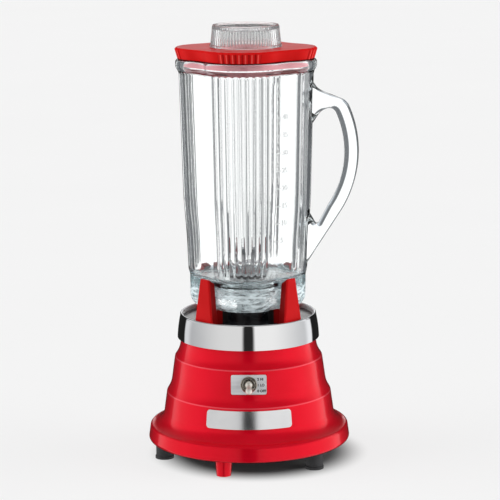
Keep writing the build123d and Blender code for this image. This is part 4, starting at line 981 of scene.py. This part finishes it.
upper_root = side_point(handle_bm, (57.4, 198.5))
upper_flare = side_point(handle_bm, (62.8, 190.5))
corner = side_point(handle_bm, ARC_TOP)
outer_arc = arc(handle_bm, middle, middle + late_ray, sweep)
lower_root = side_point(handle_bm, (51.0, 33.7))
lower_web = side_point(handle_bm, (53.6, 84.0))
lower_turn = side_point(handle_bm, (61.8, 70.0))
inner_arc = arc(handle_bm, middle, middle + foot_ray * inside, -sweep)
inner_corner = side_point(handle_bm, middle + top_ray * inside)
upper_turn = side_point(handle_bm, (67.0, 174.0))
upper_web = side_point(handle_bm, (56.4, 158.0))
outline = [upper_root, upper_flare, corner, *outer_arc, lower_root, lower_web, lower_turn]
outline += [*inner_arc, inner_corner, upper_turn, upper_web]
handle_bm.faces.new(outline)
turns = ((upper_flare, 4.0), (corner, 4.5), (lower_turn, 4.0), (inner_corner, 4.0), (upper_turn, 6.0))
for turn, radius in turns:
    soften(handle_bm, [turn], radius, SOFT_STEPS, affect="VERTICES")
print("handle outline of", len(handle_bm.verts), "points about an arc of", round(top_ray.length, 1), "mm")

# %% [markdown]
# ## The strap
# The outline's face is extruded to the strap's width. Its edges then fall into two groups: those round the
# space for the fingers get a large round, and the outer ones a small one. One bevel for all would be too
# soft outside or too sharp for the hand. Whether the band of faces at an edge points towards the middle of
# the grip tells the groups apart.

# %% Strap
OUTER_SOFT = 1.8
GRIP_SOFT = 5.6
GRIP_MIDDLE = (72.0, 130.0)  # distance from the axis, height above the seat
BAND_CORNERS = 4  # the strap's two flat sides have more

side = list(handle_bm.faces)
made = bmesh.ops.extrude_face_region(handle_bm, geom=side, use_keep_orig=True)["geom"]
far_side = [item for item in made if isinstance(item, bmesh.types.BMVert)]
bmesh.ops.translate(handle_bm, verts=far_side, vec=(0, HANDLE_W * MM, 0))
bmesh.ops.recalc_face_normals(handle_bm, faces=handle_bm.faces)
grip = Vector((GRIP_MIDDLE[0] * MM, 0, (SEAT + GRIP_MIDDLE[1]) * MM))
flats = {face for face in handle_bm.faces if len(face.verts) > BAND_CORNERS}
outer_edges = []
grip_edges = []
for edge in handle_bm.edges:
    band = [face for face in edge.link_faces if face not in flats]
    if len(band) == 1:
        inside_grip = band[0].normal.dot(grip - band[0].calc_center_median()) > 0
        (grip_edges if inside_grip else outer_edges).append(edge)
for edges, radius in ((grip_edges, GRIP_SOFT), (outer_edges, OUTER_SOFT)):
    kept = [edge for edge in edges if edge.is_valid]
    soften(handle_bm, kept, radius, SOFT_STEPS)
bmesh.ops.rotate(handle_bm, verts=handle_bm.verts, matrix=Matrix.Rotation(radians(JAR_TURN), 3, "Z"))
bmesh.ops.recalc_face_normals(handle_bm, faces=handle_bm.faces)
open_edges = sum(edge.is_boundary for edge in handle_bm.edges)
print("handle", len(handle_bm.faces), "faces,", open_edges, "open edges")

# %% [markdown]
# ## One piece of glass
# Two overlapping pieces of glass would show a false surface inside, because light would bend again where
# they overlap. A Boolean union melts the handle into the wall. Shading is smooth over the rounds and sharp
# at real corners, and normals weighted by area keep the large flat sides of the strap free of false curves.

# %% Melt the handle into the jar
SHARP_CORNER = 40.0  # degrees


def smooth_glass(piece):
    """Smooth shading that large faces govern."""
    piece.data.shade_smooth()
    piece.data.set_sharp_from_angle(angle=radians(SHARP_CORNER))
    weighted = piece.modifiers.new("even_normals", "WEIGHTED_NORMAL")
    weighted.keep_sharp = True


def modified(piece):
    """The mesh that a piece's modifiers give."""
    bpy.context.view_layer.update()
    return bpy.data.meshes.new_from_object(piece.evaluated_get(bpy.context.evaluated_depsgraph_get()))


jar = new_piece("pressed_jar", wall_bm, finishes["jar_glass"])
handle = new_piece("handle", handle_bm, finishes["jar_glass"])
union = jar.modifiers.new("union", "BOOLEAN")
union.operation = "UNION"
union.solver = "EXACT"
union.object = handle
melted = modified(jar)
jar.modifiers.clear()
jar.data = melted
bpy.data.objects.remove(handle)
smooth_glass(jar)
jar.visible_shadow = False
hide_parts("glass_jar")
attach(jar, "jar")
print("jar", len(melted.polygons), "faces")

# %% [markdown]
# ## Raised measures
# Bar jars carry raised strokes and plain numbers on the smooth panel beside the flutes. Each mark is placed
# on the wall itself: two short steps along the wall, one sideways and one upwards, give the directions in
# which the mark lies.

# %% Measures on the jar
MARK_ANGLE = -54.0  # degrees about the drive axis, from +X
MARK_RISE = 0.3  # out of the wall
MARK_SINK = 0.25  # into the wall
MARK_COUNT = 8
LOWEST_MARK = 62.0  # height above the seat
MARK_STEP = 15.5
NUMBER_SIZE = 6.5
NUMBER_STEP = 5
NUMBER_GAP = 1.0
STROKE = (6.0, 0.9)  # length, width
STROKE_GAP = 0.8
SHORT_TURN = 0.01  # radians
SHORT_RISE = 1.0
WELD = 0.000001  # metres


def wall_point(angle, height):
    """A point on the jar's plain outside, in metres."""
    below, above = (WAIST, BELLY) if height < BELLY[0] else (BELLY, SHOULDER)
    part = (height - below[0]) / (above[0] - below[0])
    out = clover(below[1] + part * (above[1] - below[1]))(angle - radians(JAR_TURN)) * MM
    return Vector((out * cos(angle), out * sin(angle), (SEAT + height) * MM))


def against_wall(angle, height):
    """A placing matrix whose X runs round the wall, Y up it and Z out of it."""
    here = wall_point(angle, height)
    across = (wall_point(angle + SHORT_TURN, height) - here).normalized()
    up = (wall_point(angle, height + SHORT_RISE) - here).normalized()
    out = across.cross(up)
    facing = Matrix((across, out.cross(across), out)).transposed().to_4x4()
    return Matrix.Translation(here) @ facing


def lettering(words, size, thickness, line=1.0, bold=0.0):
    """Flat words as a mesh about their own middle height, starting at x = 0. Bold widens every stroke."""
    curve = bpy.data.curves.new("lettering", "FONT")
    curve.body = words
    curve.size = size * MM
    curve.extrude = thickness / 2 * MM
    curve.space_line = line
    curve.offset = bold * MM
    curve.align_y = "CENTER"
    shown = bpy.data.objects.new("lettering", curve)
    bpy.context.scene.collection.objects.link(shown)
    mesh = modified(shown)
    bpy.data.objects.remove(shown)
    return mesh


marks_bm = bmesh.new()
thickness = MARK_RISE + MARK_SINK
lift = Matrix.Translation((0, 0, (MARK_RISE - MARK_SINK) / 2 * MM))
beside = Matrix.Translation((NUMBER_GAP * MM, 0, 0))
before = Matrix.Translation(((-STROKE[0] / 2 - STROKE_GAP) * MM, 0, 0))
size = Matrix.Diagonal((STROKE[0] * MM, STROKE[1] * MM, thickness * MM, 1))
for index in range(MARK_COUNT):
    place = against_wall(radians(MARK_ANGLE), LOWEST_MARK + MARK_STEP * index)
    number = lettering(str(NUMBER_STEP * (index + 1)), NUMBER_SIZE, thickness)
    number.transform(place @ lift @ beside)
    marks_bm.from_mesh(number)
    bmesh.ops.create_cube(marks_bm, size=1.0, matrix=place @ lift @ before @ size)
bmesh.ops.remove_doubles(marks_bm, verts=marks_bm.verts, dist=WELD)
marks = new_piece("jar_marks", marks_bm, matt_glass)
marks.visible_shadow = False
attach(marks, "jar")
print("measures", len(marks.data.polygons), "faces")

# %% [markdown]
# ## The measuring cap
# The cap is clear and has small flutes all round its skirt. It is stacked from rings like the jar, this
# time with two open ends: the middle of its top and the roof of the hollow beneath, which are each filled
# with one flat face. A deep groove under the skirt keeps the wall thin. A solid skirt would act as a thick
# lens and show only red.

# %% Fluted cap
CAP_FOOT, CAP_TOP = heights("measure_cap")
CAP_POINTS = 576
CAP_STEPS = 3
CAP_FLUTES = 72
CAP_FLUTE_DEPTH = 0.6
LIP = 1.0  # height of the lip round the top
SKIRT_FOOT = 369.5
FLANGE_FOOT = 367.1
FLANGE_R = 31.8
GROOVE_ROOF = 383.0
HOLLOW_ROOF = 382.5
PLUG_R = 26.1  # the wall that goes down into the lid
HOLLOW_R = 24.1


def serrated(radius):
    """A round section with sharp grooves between small ribs."""
    return lambda angle: radius - CAP_FLUTE_DEPTH * (1 - abs(cos(CAP_FLUTES * angle / 2)))


cap_sections = [
    (CAP_TOP - LIP, disc(27.4), 0.2),
    (CAP_TOP, disc(27.4), 0.3),
    (CAP_TOP, disc(28.8), 0.3),
    (CAP_TOP - LIP, disc(28.8), 0.2),
    (CAP_TOP - LIP, serrated(29.4), 0.4),
    (SKIRT_FOOT, serrated(31.0), 0),
    (SKIRT_FOOT, disc(FLANGE_R), 0.4),
    (FLANGE_FOOT, disc(FLANGE_R), 0.4),
    (FLANGE_FOOT, disc(29.2), 0.3),
    (GROOVE_ROOF, disc(27.6), 0.3),
    (GROOVE_ROOF, disc(PLUG_R), 0.3),
    (CAP_FOOT, disc(PLUG_R), 0.5),
    (CAP_FOOT, disc(HOLLOW_R), 0.5),
    (HOLLOW_ROOF, disc(HOLLOW_R), 1.2),
]
cap_bm = bmesh.new()
rings = stack(cap_bm, CAP_POINTS, cap_sections)
for end in (rings[0], rings[-1]):
    bmesh.ops.contextual_create(cap_bm, geom=end)
round_rings(cap_bm, rings, cap_sections, CAP_STEPS)
bmesh.ops.recalc_face_normals(cap_bm, faces=cap_bm.faces)
open_edges = sum(edge.is_boundary for edge in cap_bm.edges)
cap = new_piece("fluted_cap", cap_bm, finishes["clear_cap"])
smooth_glass(cap)
cap.visible_shadow = False
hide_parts("measure_cap")
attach(cap, "cap")
print("cap from", CAP_FOOT, "to", CAP_TOP, "mm,", len(cap.data.polygons), "faces,", open_edges, "open edges")

# %% [markdown]
# ## Marks by the switch
# The lever has three places, and plain printed words name them. Text is turned into a mesh first and then
# laid on the sloping plate, so that the finished object stays untransformed like every other piece.

# %% Switch marks
PLATE_FACE = (7.4, -66.961, 79.0)  # where the print starts, on the plate's face
PLATE_SLOPE = 8.0  # degrees
PRINT_SIZE = 3.0
PRINT_FILM = 0.1
PRINT_BOLD = 0.15
PRINT_LINES = 1.7  # spacing of the lines
PLACES = "2 HI\n1 LO\n0 OFF"

ink = finish(
    "print_black",
    colours=((0.012, 0.012, 0.014, 1), (0.022, 0.022, 0.024, 1)),
    cloud=900.0, roughness=(0.45, 0.6), grain=(2500.0, 0.00001, 0.2),
)
words = lettering(PLACES, PRINT_SIZE, PRINT_FILM, line=PRINT_LINES, bold=PRINT_BOLD)
upright = Matrix.Rotation(radians(90 - PLATE_SLOPE), 4, "X")
words.transform(Matrix.Translation(Vector(PLATE_FACE) * MM) @ upright)
print_bm = bmesh.new()
print_bm.from_mesh(words)
print_marks = new_piece("switch_marks", print_bm, ink)
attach(print_marks, "base")
print("switch marks", len(print_marks.data.polygons), "faces")
